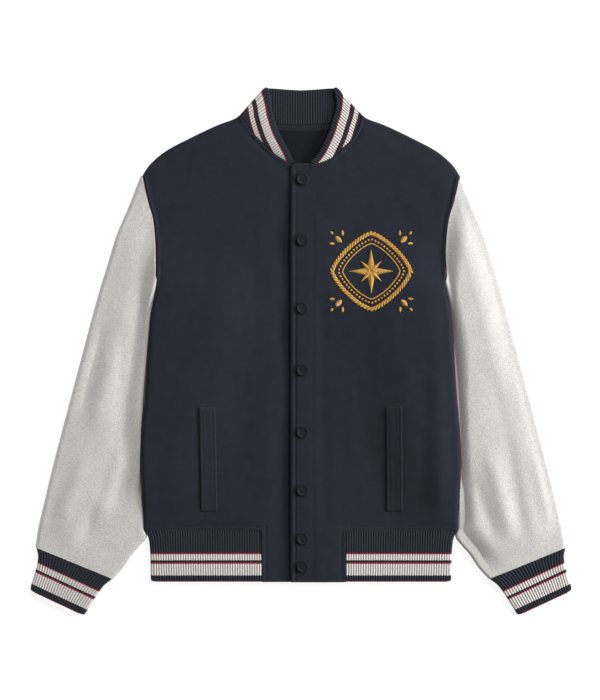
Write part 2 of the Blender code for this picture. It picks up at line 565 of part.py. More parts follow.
def add(piece, centre):
    """Put a piece into the scene, in metres, about the jacket's own centre."""
    name, points, faces, colour, roughness, metallic = piece
    mesh = bpy.data.meshes.new(name)
    mesh.from_pydata([tuple(p) for p in (points - centre) * 0.001], [], faces)
    work = bmesh.new()
    work.from_mesh(mesh)
    bmesh.ops.delete(work, geom=[v for v in work.verts if not v.link_faces], context="VERTS")
    bmesh.ops.recalc_face_normals(work, faces=work.faces[:])
    work.to_mesh(mesh)
    work.free()
    material = bpy.data.materials.new(name)
    material.use_nodes = True
    shader = material.node_tree.nodes["Principled BSDF"]
    shader.inputs["Base Color"].default_value = (*colour, 1.0)
    shader.inputs["Roughness"].default_value = roughness
    shader.inputs["Metallic"].default_value = metallic
    mesh.materials.append(material)
    bpy.context.scene.collection.objects.link(bpy.data.objects.new(name, mesh))


def main():
    for old in list(bpy.data.objects):
        bpy.data.objects.remove(old, do_unlink=True)
    navy, cream, rib = (0.026, 0.030, 0.040), (0.53, 0.51, 0.48), (0.022, 0.025, 0.034)
    pieces = [solid("back_panel", back(), navy, 0.95)]
    fronts = {}
    for side, name in ((-1, "front_right"), (1, "front_left")):
        outer, inner, keep = front(side)
        pieces.append(solid(name, (outer, inner), navy, 0.95, keep=keep))
        fronts[side] = surface(*wall(outer, inner, keep))
    for side, name in ((-1, "right"), (1, "left")):
        outer, inner, upper, lower = sleeve(side)
        pieces.append(solid(f"sleeve_{name}_top", (outer, inner), cream, 0.95))
        pieces.append(solid(f"sleeve_{name}_under", (upper, lower), cream, 0.95))
        pieces.append(solid(f"cuff_{name}", cuff(side), rib, 0.9, wrap=True))
        pieces.append(solid(f"welt_{name}", welt(side, fronts[side]), navy, 0.95))
    pieces.append(solid("collar", collar(), rib, 0.9))
    pieces.append(solid("hem_rib", hem(), rib, 0.9))
    pieces.append(solid("neck_tape", tape(), (0.05, 0.055, 0.07), 0.9))
    pieces += [snap(f"snap_{k + 1}", y, fronts[1]) for k, y in enumerate(SNAP_Y)]
    every = np.concatenate([p[1] for p in pieces])
    low, high = every.min(0), every.max(0)
    centre = np.array([(low[0] + high[0]) / 2, (low[1] + high[1]) / 2, low[2]])
    for piece in pieces:
        add(piece, centre)


main()
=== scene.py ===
"""A varsity jacket lying flat on its back, fastened, with its sleeves brought down beside the body.

Shapes are worked out in millimetres, as (across, up, high): `across` grows from the middle to a side, `up`
runs from the hem's lower edge (0) to the collar, and `high` is the height over the surface that the jacket
lies on. What comes in pairs is worked out for the wearer's left, side 1, and mirrored for side -1. A mesh
turns its points into metres in the frame's own coordinates when it is made.
"""

import logging
import math
from dataclasses import dataclass, field
from enum import Enum
from typing import NamedTuple, Optional, Sequence, Union

import bpy
import numpy as np
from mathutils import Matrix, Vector


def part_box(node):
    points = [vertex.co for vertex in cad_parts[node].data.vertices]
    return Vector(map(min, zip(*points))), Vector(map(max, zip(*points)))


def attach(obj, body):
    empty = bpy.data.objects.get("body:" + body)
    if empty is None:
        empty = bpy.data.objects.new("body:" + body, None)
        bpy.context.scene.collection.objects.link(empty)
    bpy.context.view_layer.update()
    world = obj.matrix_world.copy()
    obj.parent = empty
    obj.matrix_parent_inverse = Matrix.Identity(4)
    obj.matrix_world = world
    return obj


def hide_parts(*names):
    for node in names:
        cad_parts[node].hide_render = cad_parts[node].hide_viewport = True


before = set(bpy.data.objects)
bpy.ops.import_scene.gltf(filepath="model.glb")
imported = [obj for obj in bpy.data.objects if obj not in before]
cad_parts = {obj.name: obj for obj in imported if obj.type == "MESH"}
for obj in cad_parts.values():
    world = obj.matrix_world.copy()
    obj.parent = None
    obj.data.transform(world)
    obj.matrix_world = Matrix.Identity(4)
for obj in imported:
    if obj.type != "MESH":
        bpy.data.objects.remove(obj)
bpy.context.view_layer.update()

LOG = logging.getLogger("jacket")
Array = np.ndarray
Number = Union[float, Array]
# points, four corners to a face, and each corner's pattern coordinates
Lot = tuple[Array, Array, Optional[Array]]
Socket = bpy.types.NodeSocket
Colour = tuple[float, float, float, float]
MM = 0.001
UP = np.array([0.0, 0.0, 1.0])
# the frame's origin is this far up from the hem's lower edge
ORIGIN_UP = -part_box("hem_rib")[0][1] / MM

# the cloths' walls, the gap at a seam, and how far a rib stands out of its valley
SEAM = 0.3
MELTON = 2.4
FLEECE = 2.2
RIB_WALL = 3.2
RIB_HIGH = 0.85
# heights of the faces: the body, the sleeve behind it and the seen sleeve; the body rides up by LIFT
BODY_HIGH = 7.2
TUCK_HIGH = 5.0
SLEEVE_HIGH = 7.0
LIFT = 6.0
# radii of the rolled edges
HEM_ROLL = 3.7
CUFF_ROLL = 3.8
BODY_ROLL = BODY_HIGH - MELTON - SEAM
SLEEVE_ROLL = SLEEVE_HIGH - FLEECE - SEAM
TUCK_ROLL = TUCK_HIGH - FLEECE - SEAM
# shares of a roll's radius in from its outside, for equal angles
ROLLS = 1 - np.sin(np.linspace(0, np.pi / 2, 7))
# places on the front
HEM_SEAM = 75.7
UNDERARM = 427.0
ROLL_FADE = 34.0
LAP = 16.0
SNAP_X = 2.3
SNAP_UPS = (592.4, 502.7, 402.8, 311.6, 220.5, 135.2, 63.9, 22.8)
TAB_ENDS = {1: 66.0, -1: 58.0}
POINTS_A_RIB = 8


class Side(Enum):
    """A side of the jacket as its wearer has it; the value is the sign of X there."""

    RIGHT = -1
    LEFT = 1


class Edge(NamedTuple):
    """A point of an outline."""

    across: float
    up: float


class SleeveRow(NamedTuple):
    """A line across a sleeve: inner edge, crease beside the body, outer edge."""

    in_across: float
    in_up: float
    crease_across: float
    crease_up: float
    out_across: float
    out_up: float


class CuffRow(NamedTuple):
    """A line across a cuff."""

    in_across: float
    in_up: float
    out_across: float
    out_up: float


class CollarLine(NamedTuple):
    """A straight line along the ribs of the collar's front half."""

    free_across: float
    free_up: float
    seam_across: float
    seam_up: float


class Fold(NamedTuple):
    """A soft ridge, or a trough where it is lower than 0, along a straight line of a sleeve or front."""

    side: int
    x0: float
    y0: float
    x1: float
    y1: float
    width: float
    high: float


def table(kind: type, *rows: Sequence[float]) -> Array:
    """Rows with named columns, as one array."""
    return np.array([kind(*row) for row in rows])


SIDE = table(
    Edge, (231.0, 75.7), (231.7, 95), (233, 120), (234.3, 150), (235, 184), (233, 225), (229, 270),
    (225.6, 320), (222.6, 372), (217.6, 408), (214, 427), (213.4, 440), (212.9, 462), (213.2, 486),
    (214.7, 510), (217.9, 534), (225.4, 560), (229.6, 580), (232.2, 592.5), (232.8, 594.8),
    (233.3, 596.6), (233.6, 597.3))
SHOULDER = table(
    Edge, (89, 686.8), (96.5, 682), (119.7, 673.4), (144.8, 662), (169.6, 649.8), (194, 637), (206.5, 628.6),
    (217.6, 619), (226.4, 609.2), (233.6, 597.3))
PLACKET_TOP = {1: table(Edge, (-16, 609), (-9, 616), (12.6, 616)), -1: table(Edge, (-25, 607.5), (-4, 609.5))}
NECK = {
    1: table(Edge, (18.6, 614.2), (30, 617), (45, 623.6), (60, 637.4), (74, 651.5), (83, 669), (89, 686.8)),
    -1: table(Edge, (12, 613), (22, 619), (33, 625.8), (44.1, 634.3), (57.3, 647.1), (70, 660), (80.5, 674.5),
              (89, 686.8))}
BACK_NECK = table(Edge, (0, 672.5), (23, 673.1), (46, 675.2), (68, 677.9), (86.9, 683.4))
# where the lines that end at the points of the placket's top and the neckline start on the hem seam, and
# those that end at some of the shoulder's points
FRONT_HEMS = {1: (-16, -4, 14, 30, 48, 66, 92, 118, 141, 157),
              -1: (-25, -4, 14, 28, 43, 58, 86, 113, 138, 157)}
SHOULDER_HEMS = {1: 165, 2: 177, 3: 190, 4: 202, 5: 213, 7: 221}
HEM_SIDE = table(
    Edge, (217.4, 0), (219.0, 1.2), (220.2, 3.5), (220.6, 10), (220.8, 32), (222.2, 55), (224.0, 65),
    (227.5, 72), (229.6, HEM_SEAM))
SLEEVE = table(
    SleeveRow,
    (150, 385, 214.6, 427, 233.9, 597.3), (157, 361, 218.6, 408, 252, 551), (165, 336, 222.6, 385, 270, 508),
    (174, 309, 226, 352, 283, 465), (183, 282, 229.6, 318, 294, 430), (192, 255, 232.4, 284, 304, 394),
    (201.5, 227, 234.6, 249, 313.2, 360), (210.5, 199, 236, 215, 321.6, 328),
    (219, 172, 236.2, 184, 329.8, 297), (227.6, 143, 237, 152, 338, 266),
    (232.4, 120, 241, 127, 346.2, 235), (232.6, 100, 241.5, 108, 353.8, 206),
    (232.2, 77.6, 241, 87, 361.1, 178), (229.2, 67.5, 239, 77, 366.8, 155), (238.5, 54, 248, 62, 372.7, 130),
    (249, 42, 259, 49, 378.6, 105), (263, 21.5, 273, 27, 384.4, 80), (278.4, 4.9, 286, 8, 389, 50.3))
TUCKED = table(
    Edge, (150, 385), (214, 427), (222, 372), (229, 270), (235, 184), (233.5, 127), (219, 172), (192, 255),
    (174, 309))
CUFF = table(
    CuffRow, (278.4, 4.5, 388.6, 49.8), (290.5, -5.2, 386.2, 38), (300, -18, 387.4, 26),
    (311.5, -36, 391.6, 10.5), (320, -49.8, 398.9, -13))
COLLAR = {
    1: table(CollarLine, (51.4, 729, 89, 686.8), (52.3, 714, 87, 681), (51.8, 703, 84.5, 673.5),
             (49.8, 691, 80, 663.2), (46, 679, 75, 653.5), (41.5, 664, 66, 643.5), (34.5, 648, 54, 631.9),
             (26.5, 632.5, 41, 621.8), (13.8, 616.9, 20.1, 614.4)),
    -1: table(CollarLine, (51.4, 729, 89, 686.8), (47, 715, 85.6, 681.9), (43.8, 703, 80.5, 674.5),
              (42, 691, 75.5, 667.5), (38.6, 678, 68, 658), (33, 662, 57.3, 647.1),
              (25.5, 647.5, 44.1, 634.3), (17.5, 632.5, 30, 624), (10.5, 617.4, 15.6, 615.2))}
BODY_FOLDS = [Fold(*row) for row in (
    (-1, 43, 470, 44, 110, 15, 1.2), (-1, 100, 520, 130, 330, 34, 1.2), (-1, 206, 200, 206, 100, 14, -1.0),
    (-1, 92, 300, 80, 110, 16, -0.8), (-1, 150, 560, 186, 520, 16, 0.9),
    (1, 30, 430, 34, 80, 10, -1.3), (1, 66, 420, 82, 120, 20, 1.5), (1, 180, 330, 186, 240, 13, -1.0),
    (1, 196, 300, 204, 110, 14, 1.8), (1, 172, 110, 182, 220, 12, -1.0), (1, 150, 570, 190, 520, 16, 0.9))]
SLEEVE_FOLDS = [Fold(*row) for row in (
    (-1, 222, 502, 246, 396, 9, 1.0), (-1, 250, 380, 258, 292, 9, 1.6), (-1, 276, 330, 300, 236, 15, 2.6),
    (-1, 296, 360, 318, 262, 13, -2.2), (-1, 262, 190, 300, 100, 13, 3.0), (-1, 244, 220, 266, 120, 11, -1.8),
    (-1, 322, 170, 352, 92, 13, 2.6), (-1, 286, 150, 320, 62, 10, -2.0), (1, 264, 470, 282, 372, 13, 0.8),
    (1, 256, 300, 272, 180, 13, 0.4), (1, 286, 290, 306, 200, 12, -0.9), (1, 306, 196, 324, 76, 12, -1.8),
    (1, 316, 300, 334, 206, 13, 1.2), (1, 278, 180, 306, 76, 12, 2.8), (1, 340, 190, 366, 96, 12, 2.2),
    (1, 254, 150, 282, 70, 10, -1.8))]


# ---------------------------------------------------------------- shapes shared by several pieces


def smooth(t: Number) -> Array:
    """An even rise from 0 to 1: 3t^2 - 2t^3, held outside that range."""
    t = np.clip(t, 0.0, 1.0)
    return t * t * (3 - 2 * t)


def mix(a: Number, b: Number, t: Number) -> Number:
    """The value a share t of the way from a to b."""
    return a + (b - a) * t


def bell(t: Number) -> Array:
    """A bell of height 1 round 0: e to the power -t^2."""
    return np.exp(-np.square(t))


def fall(t: Number) -> Array:
    """How far a circle of radius 1 has fallen a share t of the way from its top: 1 - sqrt(1 - t^2)."""
    return 1 - np.sqrt(1 - np.square(t))


def grid(*parts: Number) -> Array:
    """Points made of their coordinates, which are spread over one grid."""
    return np.stack(np.broadcast_arrays(*parts), -1)


def raised(plan: Array, high: Number) -> Array:
    """Points of a plan, put at a height."""
    return grid(plan[..., 0], plan[..., 1], high)


def unit(directions: Array) -> Array:
    """Directions made 1 long."""
    return directions / np.maximum(np.linalg.norm(directions, axis=-1, keepdims=True), 1e-9)


def heading(turn: float) -> Array:
    """The direction in plan at an angle: (cos, sin)."""
    return np.array([np.cos(turn), np.sin(turn)])


def eased(x: Number, xs: Array, ys: Array) -> Array:
    """A smooth curve through points that never overshoots them.

    Cubic pieces whose slope at a point is the weighted harmonic mean of the slopes beside it, or 0 where
    they differ in sign.

    Args:
        x: Where the curve is read.
        xs: The points' places, rising.
        ys: The points' values.

    Returns:
        The curve's values.
    """
    x, xs, ys = np.asarray(x, float), np.asarray(xs, float), np.asarray(ys, float)
    h, d = np.diff(xs), np.diff(ys) / np.diff(xs)
    slope = np.concatenate([d[:1], np.zeros(len(d) - 1), d[-1:]])
    same = d[1:] * d[:-1] > 0
    a, b = np.where(same, d[:-1], 1.0), np.where(same, d[1:], 1.0)
    u, w = 2 * h[1:] + h[:-1], h[1:] + 2 * h[:-1]
    slope[1:-1] = np.where(same, (u + w) / (u / a + w / b), 0.0)
    i = np.clip(np.searchsorted(xs, x, side="right") - 1, 0, len(h) - 1)
    t = np.clip((x - xs[i]) / h[i], 0.0, 1.0)
    return (ys[i] * (1 + 2 * t) * (1 - t) ** 2 + ys[i + 1] * t * t * (3 - 2 * t)
            + h[i] * (slope[i] * t * (1 - t) ** 2 - slope[i + 1] * t * t * (1 - t)))


def arc_of(points: Array) -> Array:
    """Distance run along a line of points, from 0."""
    return np.concatenate([[0.0], np.cumsum(np.linalg.norm(np.diff(points, axis=0), axis=1))])


def along(points: Array, at: Array) -> Array:
    """Points at given distances along a line, straight between its points."""
    run = arc_of(points)
    return np.stack([np.interp(at, run, column) for column in points.T], -1)


def evenly(points: Array, step: float) -> Array:
    """The line again, with points about `step` apart."""
    long = arc_of(points)[-1]
    return along(points, np.linspace(0, long, max(2, round(long / step) + 1)))


def blend(u: Array, v: Array, low: Array, top: Array, start: Array, end: Array,
          first: Optional[Sequence[Array]] = None) -> Array:
    """A grid between its four edges.

    It is the straight blends of the two pairs of facing edges, added, less the blend of the four corners.

    Args:
        u: A share across the grid for each column.
        v: A share up the grid for each row.
        low: Edge where v is 0.
        top: Edge where v is 1.
        start: Edge where u is 0.
        end: Edge where u is 1.
        first: The two corners where u is 0, if they aren't the first points of `low` and `top`.

    Returns:
        Points (across, up), rows by columns.
    """
    a, b = first or (low[0], top[0])
    u, v = u[None, :, None], v[:, None, None]
    corners = (1 - u) * (1 - v) * a + u * (1 - v) * low[-1] + (1 - u) * v * b + u * v * top[-1]
    return (1 - v) * low[None] + v * top[None] + (1 - u) * start[:, None] + u * end[:, None] - corners


def off_line(x: Array, y: Array, line: Array) -> Array:
    """Distance in plan from points to an open line of straight pieces.

    Args:
        x: The points' places across.
        y: Their places up.
        line: The line's points.

    Returns:
        The distances.
    """
    p = grid(x, y).astype(float)
    best = np.full(p.shape[:-1], 1e9)
    for a, b in zip(line[:-1], line[1:]):
        d = b - a
        t = np.clip(((p - a) @ d) / max(float(d @ d), 1e-9), 0, 1)
        best = np.minimum(best, np.linalg.norm(p - a - t[..., None] * d, axis=-1))
    return best


def off_tucked(x: Array, y: Array) -> Array:
    """Distance in plan from the part of a sleeve that lies behind the body.

    A point is inside where a level line from it crosses the outline an odd number of times.

    Args:
        x: The points' places across.
        y: Their places up.

    Returns:
        The distances, 0 inside.
    """
    x, y = np.broadcast_arrays(x, y)
    inside = np.zeros(x.shape, bool)
    ring = np.vstack([TUCKED, TUCKED[:1]])
    for a, b in zip(ring[:-1], ring[1:]):
        reach = (b[0] - a[0]) * (y - a[1]) / ((b[1] - a[1]) or 1e-9)
        inside ^= ((a[1] > y) != (b[1] > y)) & (x < a[0] + reach)
    return np.where(inside, 0.0, off_line(x, y, ring))


def lift(x: Array, y: Array, fade: float = 40.0) -> Array:
    """How far the body rides up over the tucked sleeves: full over them, gone `fade` mm beyond them."""
    return LIFT * smooth(1 - np.maximum(off_tucked(np.abs(x), y) - 12, 0) / fade)


def side_across(up: Number) -> Array:
    """Where the body's side, and above the underarm the armhole, runs at a height."""
    return eased(up, SIDE[:, 1], SIDE[:, 0])


def wander(x: Array, y: Array, seed: int, wave: float) -> Array:
    """Gentle unevenness: twelve sine waves in seeded directions.

    Args:
        x: The points' places across.
        y: Their places up.
        seed: What the directions, lengths and starts are drawn from.
        wave: Their length, about.

    Returns:
        Heights, mostly between -1 and 1.
    """
    rng = np.random.default_rng(seed)
    turn, length = rng.uniform(0, np.pi, 12), wave * rng.uniform(0.7, 1.8, 12)
    start = rng.uniform(0, 2 * np.pi, 12)
    total = np.zeros(np.broadcast(x, y).shape)
    for a, w, s in zip(turn, length, start):
        total += np.sin(2 * np.pi * (x * np.cos(a) + y * np.sin(a)) / w + s)
    return total / 5.0


def folds_at(folds: Sequence[Fold], side: int, x: Array, y: Array) -> Array:
    """Height of the folds of one side: each is a bell across its line and fades over its ends.

    Args:
        folds: The folds of both sides.
        side: 1 for the wearer's left.
        x: The points' places across.
        y: Their places up.

    Returns:
        The heights, added up.
    """
    z = np.zeros(np.broadcast(x, y).shape)
    for f in (f for f in folds if f.side == side):
        d = np.array([f.x1 - f.x0, f.y1 - f.y0])
        long = float(np.linalg.norm(d))
        on = ((x - f.x0) * d[0] + (y - f.y0) * d[1]) / long
        off = ((x - f.x0) * d[1] - (y - f.y0) * d[0]) / long
        z = z + f.high * smooth((on + 25) / 45) * smooth((long + 25 - on) / 45) * bell(off / f.width)
    return z


def normals(points: Array) -> Array:
    """Unit normals of a grid: columns' direction crossed with rows' direction."""
    return unit(np.cross(np.gradient(points, axis=1), np.gradient(points, axis=0)))


# ---------------------------------------------------------------- meshes


def mirrored(lot: Lot, side: int) -> Lot:
    """A lot made for the wearer's left, put on a side; where it is mirrored, its faces are turned back."""
    points, quads, marks = lot
    return points * [side, 1, 1], quads[:, ::side], None if marks is None else marks[:, ::side]


def join(lots: Sequence[Lot]) -> Lot:
    """Put several lots together.

    Args:
        lots: The lots, with pattern coordinates in all or in none.

    Returns:
        One lot.
    """
    starts = np.cumsum([0] + [len(points) for points, _, _ in lots])
    quads = np.concatenate([quads + start for (_, quads, _), start in zip(lots, starts)])
    marks = None if lots[0][2] is None else np.concatenate([marks for _, _, marks in lots])
    return np.concatenate([points for points, _, _ in lots]), quads, marks


@dataclass
class Shell:
    """A closed wall of cloth between an outer and an inner grid of points.

    Attributes:
        outer: Points of the outer face, rows by columns by (across, up, high).
        inner: Points of the inner face, the same grid.
        uv: Pattern coordinates of the outer face; one column more than the grid where it is wrapped.
        uv_inner: The same for the inner face.
        keep: Which cells the wall has.
        wrapped: Whether the last column joins the first.
    """

    outer: Array
    inner: Array
    uv: Optional[Array] = None
    uv_inner: Optional[Array] = None
    keep: Optional[Array] = None
    wrapped: bool = False

    def lot(self, side: int = 1) -> Lot:
        """Work out the wall: its two faces, and a rim wherever a kept cell has no kept neighbour.

        Args:
            side: -1 mirrors it to the wearer's right.

        Returns:
            The wall's points, faces and pattern coordinates.
        """
        rows, cols = self.outer.shape[:2]
        cells = cols if self.wrapped else cols - 1
        size = rows * cols
        keep = np.ones((rows - 1, cells), bool) if self.keep is None else self.keep
        uv = np.zeros((rows, cells + 1, 2)) if self.uv is None else self.uv
        uv_inner = uv if self.uv_inner is None else self.uv_inner
        quads, marks = [], []
        i, j = np.nonzero(keep)
        for down, base, pattern in (((0, 0, 1, 1), 0, uv), ((1, 1, 0, 0), size, uv_inner)):
            r, c = np.add.outer(i, down), np.add.outer(j, (0, 1, 1, 0))
            quads.append(base + r * cols + c % cols)
            marks.append(pattern[r, c])
        framed = np.pad(keep, 1)
        if self.wrapped:
            framed[:, 0], framed[:, -1] = framed[:, -2], framed[:, 1]
        for di, dj, ends_i, ends_j in ((-1, 0, (0, 0), (0, 1)), (1, 0, (1, 1), (1, 0)),
                                       (0, -1, (1, 0), (0, 0)), (0, 1, (0, 1), (1, 1))):
            i, j = np.nonzero(keep & ~framed[1 + di:rows + di, 1 + dj:1 + dj + cells])
            r, c = np.add.outer(i, ends_i), np.add.outer(j, ends_j)
            quads.append((r * cols + c % cols)[:, [1, 0, 0, 1]] + np.array([0, 0, size, size]))
            marks.append(uv[r, c][:, [1, 0, 0, 1]])
        points = np.concatenate([self.outer.reshape(-1, 3), self.inner.reshape(-1, 3)])
        return mirrored((points, np.concatenate(quads), np.concatenate(marks)), side)


def make_mesh(name: str, lot: Lot) -> bpy.types.Mesh:
    """Put a lot into a mesh, turned outwards.

    The volume under the faces is the sum of a . (b x c) / 6; where it is below 0 every face is turned.

    Args:
        name: Name of the mesh.
        lot: Points in millimetres, faces and pattern coordinates.

    Returns:
        The mesh, in metres and in the frame's coordinates, smooth except along its sharp edges.
    """
    points, quads, marks = lot
    used, quads = np.unique(quads, return_inverse=True)
    points, quads = points[used], quads.reshape(-1, 4)
    a, b, c, d = (points[quads[:, k]] for k in range(4))
    if (a * np.cross(b, c)).sum() + (a * np.cross(c, d)).sum() < 0:
        quads, marks = quads[:, ::-1], None if marks is None else marks[:, ::-1]
    place = (points - np.array([0.0, ORIGIN_UP, 0.0])) * MM
    mesh = bpy.data.meshes.new(name)
    mesh.vertices.add(len(place))
    mesh.vertices.foreach_set("co", place.astype(np.float32).ravel())
    mesh.loops.add(quads.size)
    mesh.loops.foreach_set("vertex_index", quads.astype(np.int32).ravel())
    mesh.polygons.add(len(quads))
    mesh.polygons.foreach_set("loop_start", np.arange(0, quads.size, 4, dtype=np.int32))
    mesh.polygons.foreach_set("use_smooth", np.ones(len(quads), bool))
    mesh.update(calc_edges=True)
    if marks is not None:
        mesh.uv_layers.new(name="UVMap").data.foreach_set("uv", marks.astype(np.float32).ravel())
    mesh.validate()
    mesh.set_sharp_from_angle(angle=math.radians(50))
    return mesh


def piece(name: str, lot: Lot, finish: "Finish", slot: str, *nodes: str) -> bpy.types.Object:
    """Make a piece of the jacket.

    Args:
        name: The piece's name.
        lot: Its points and faces.
        finish: What it is made of.
        slot: The record's material slot; not used.
        *nodes: The CAD nodes that it stands for.

    Returns:
        The object, riding on the jacket.
    """
    mesh = make_mesh(name, lot)
    mesh.materials.append(finish.material())
    made = bpy.data.objects.new(name, mesh)
    bpy.context.scene.collection.objects.link(made)
    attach(made, "root")
    if nodes:
        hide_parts(*nodes)
    LOG.info("%s: %d faces", name, len(mesh.polygons))
    return made


# ---------------------------------------------------------------- finishes


def linear(hex_colour: str) -> Colour:
    """A colour written as sRGB hex, turned to linear light, with an alpha of 1."""
    parts = [int(hex_colour[k:k + 2], 16) / 255 for k in (1, 3, 5)]
    return (*(c / 12.92 if c <= 0.04045 else ((c + 0.055) / 1.055) ** 2.4 for c in parts), 1.0)


def node(tree: bpy.types.NodeTree, kind: str, inputs: Optional[dict] = None,
         **settings: object) -> bpy.types.Node:
    """Add a node with its settings and links.

    Args:
        tree: The material's node tree.
        kind: The node's type.
        inputs: Values or sockets for the node's own sockets, by name or number.
        **settings: The node's properties.

    Returns:
        The node.
    """
    made = tree.nodes.new(kind)
    for key, value in settings.items():
        setattr(made, key, value)
    for key, value in (inputs or {}).items():
        if isinstance(value, Socket):
            tree.links.new(value, made.inputs[key])
        else:
            made.inputs[key].default_value = value
    return made


@dataclass(frozen=True)
class Finish:
    """What a piece is made of: a colour and a fine relief under one shader. Its material is made once.

    Attributes:
        title: The material's name.
        dark: Its colour, or the darker of two.
        light: The lighter one.
        roughness: The shader's roughness.
        specular: Its specular level; 0.5 is that of a plain hard surface, and loose fibres have less.
        sheen: Weight of the light that standing fibres catch.
        sheen_tint: That light's colour.
        bump: Strength of the relief.
        bump_mm: Its height.
    """

    title: str
    dark: str
    light: str = "#FFFFFF"
    roughness: float = 0.9
    specular: float = 0.15
    sheen: float = 0.0
    sheen_tint: str = "#FFFFFF"
    bump: float = 0.3
    bump_mm: float = 0.3

    def pattern(self, tree: bpy.types.NodeTree) -> tuple[Union[Socket, Colour], Socket]:
        """Add the finish's own nodes, and give its colour and the height of its relief."""
        raise NotImplementedError

    def shader(self, tree: bpy.types.NodeTree) -> bpy.types.Node:
        """Add the nodes of the finish.

        Args:
            tree: The material's node tree.

        Returns:
            The shader's node.
        """
        colour, height = self.pattern(tree)
        bump = node(tree, "ShaderNodeBump", {
            "Height": height, "Strength": self.bump, "Distance": self.bump_mm * MM})
        return node(tree, "ShaderNodeBsdfPrincipled", {
            "Base Color": colour, "Roughness": self.roughness, "Specular IOR Level": self.specular,
            "Sheen Weight": self.sheen, "Sheen Tint": linear(self.sheen_tint),
            "Normal": bump.outputs["Normal"]})

    def material(self) -> bpy.types.Material:
        """Make the material, or find it.

        Returns:
            The material.
        """
        found = bpy.data.materials.get(self.title)
        if found is None:
            found = bpy.data.materials.new(self.title)
            found.use_nodes = True
            found.node_tree.nodes.clear()
            shader = self.shader(found.node_tree)
            node(found.node_tree, "ShaderNodeOutputMaterial", {"Surface": shader.outputs["BSDF"]})
        return found


@dataclass(frozen=True)
class Napped(Finish):
    """A cloth whose nap hides its weave: fine fibres on soft patches, both of noise.

    Attributes:
        patch_mm: Size of the patches.
        patch_share: How much they count beside the fibres.
        fibre_mm: Size of the fibres or curls.
        detail: How many finer layers they have.
        fuzz: How strong each finer layer is.
        curl: How far they are bent.
        shades: The heights that are all dark and all light.
    """

    patch_mm: float = 14.0
    patch_share: float = 0.35
    fibre_mm: float = 1.1
    detail: float = 3.0
    fuzz: float = 0.5
    curl: float = 1.6
    shades: tuple[float, float] = (0.44, 0.92)

    def pattern(self, tree: bpy.types.NodeTree) -> tuple[Union[Socket, Colour], Socket]:
        """Add the patches and the fibres.

        Args:
            tree: The material's node tree.

        Returns:
            Colour, and height of the relief.
        """
        place = node(tree, "ShaderNodeTexCoord").outputs["Object"]
        patch = node(tree, "ShaderNodeTexNoise", {
            "Vector": place, "Scale": 1000 / self.patch_mm, "Detail": 2.0})
        fibre = node(tree, "ShaderNodeTexNoise", {
            "Vector": place, "Scale": 1000 / self.fibre_mm, "Detail": self.detail,
            "Roughness": self.fuzz, "Distortion": self.curl})
        both = node(tree, "ShaderNodeMath", {
            0: patch.outputs["Fac"], 1: self.patch_share, 2: fibre.outputs["Fac"]},
            operation="MULTIPLY_ADD").outputs[0]
        shade = node(tree, "ShaderNodeMapRange", {"Value": both, "From Min": self.shades[0],
                                                  "From Max": self.shades[1]})
        # the colour follows the relief, lighter where it is higher; on the fleece this is painted highlight
        # on the curls' tops and painted shade between them
        colour = node(tree, "ShaderNodeMix", {"Factor": shade.outputs["Result"], "A": linear(self.dark),
                                              "B": linear(self.light)}, data_type="RGBA")
        return colour.outputs["Result"], both


@dataclass(frozen=True)
class Melton(Napped):
    """Wool melton: woven, fulled and brushed, so no weave shows, only a short matted nap.

    The nap gives a dry, slightly cloudy surface: patches of about 14 mm where it lies differently, and single
    fibres, which are far too fine to show and are drawn about 1.1 mm long.
    """

    title: str = "wool_melton_navy"
    dark: str = "#242730"
    light: str = "#2C303A"
    roughness: float = 0.95
    specular: float = 0.12
    sheen: float = 0.05
    sheen_tint: str = "#6F7682"
    bump: float = 0.55
    bump_mm: float = 0.8


@dataclass(frozen=True)
class Fleece(Napped):
    """Wool-like fleece with a short curly nap.

    The curls are drawn about 2 mm across, with painted highlight on their tops and painted shade between
    them, with a finer fuzz on them, over clouds of about 30 mm.
    """

    title: str = "curly_fleece_cream"
    dark: str = "#BAB8B3"
    light: str = "#E3E1DC"
    roughness: float = 0.92
    sheen: float = 0.3
    bump: float = 0.55
    bump_mm: float = 1.2
    patch_mm: float = 29.4
    patch_share: float = 0.12
    fibre_mm: float = 1.9
    detail: float = 4.0
    fuzz: float = 0.62
    curl: float = 0.7
    shades: tuple[float, float] = (0.36, 0.76)


class Yarn(Enum):
    """The yarns of the rib."""

    NAVY = "#2C3039"
    WHITE = "#D8D3CE"
    RED = "#9C2A36"


class Course(NamedTuple):
    """Where a band of one yarn starts, in mm from the rib's free edge."""

    start: float
    yarn: Yarn


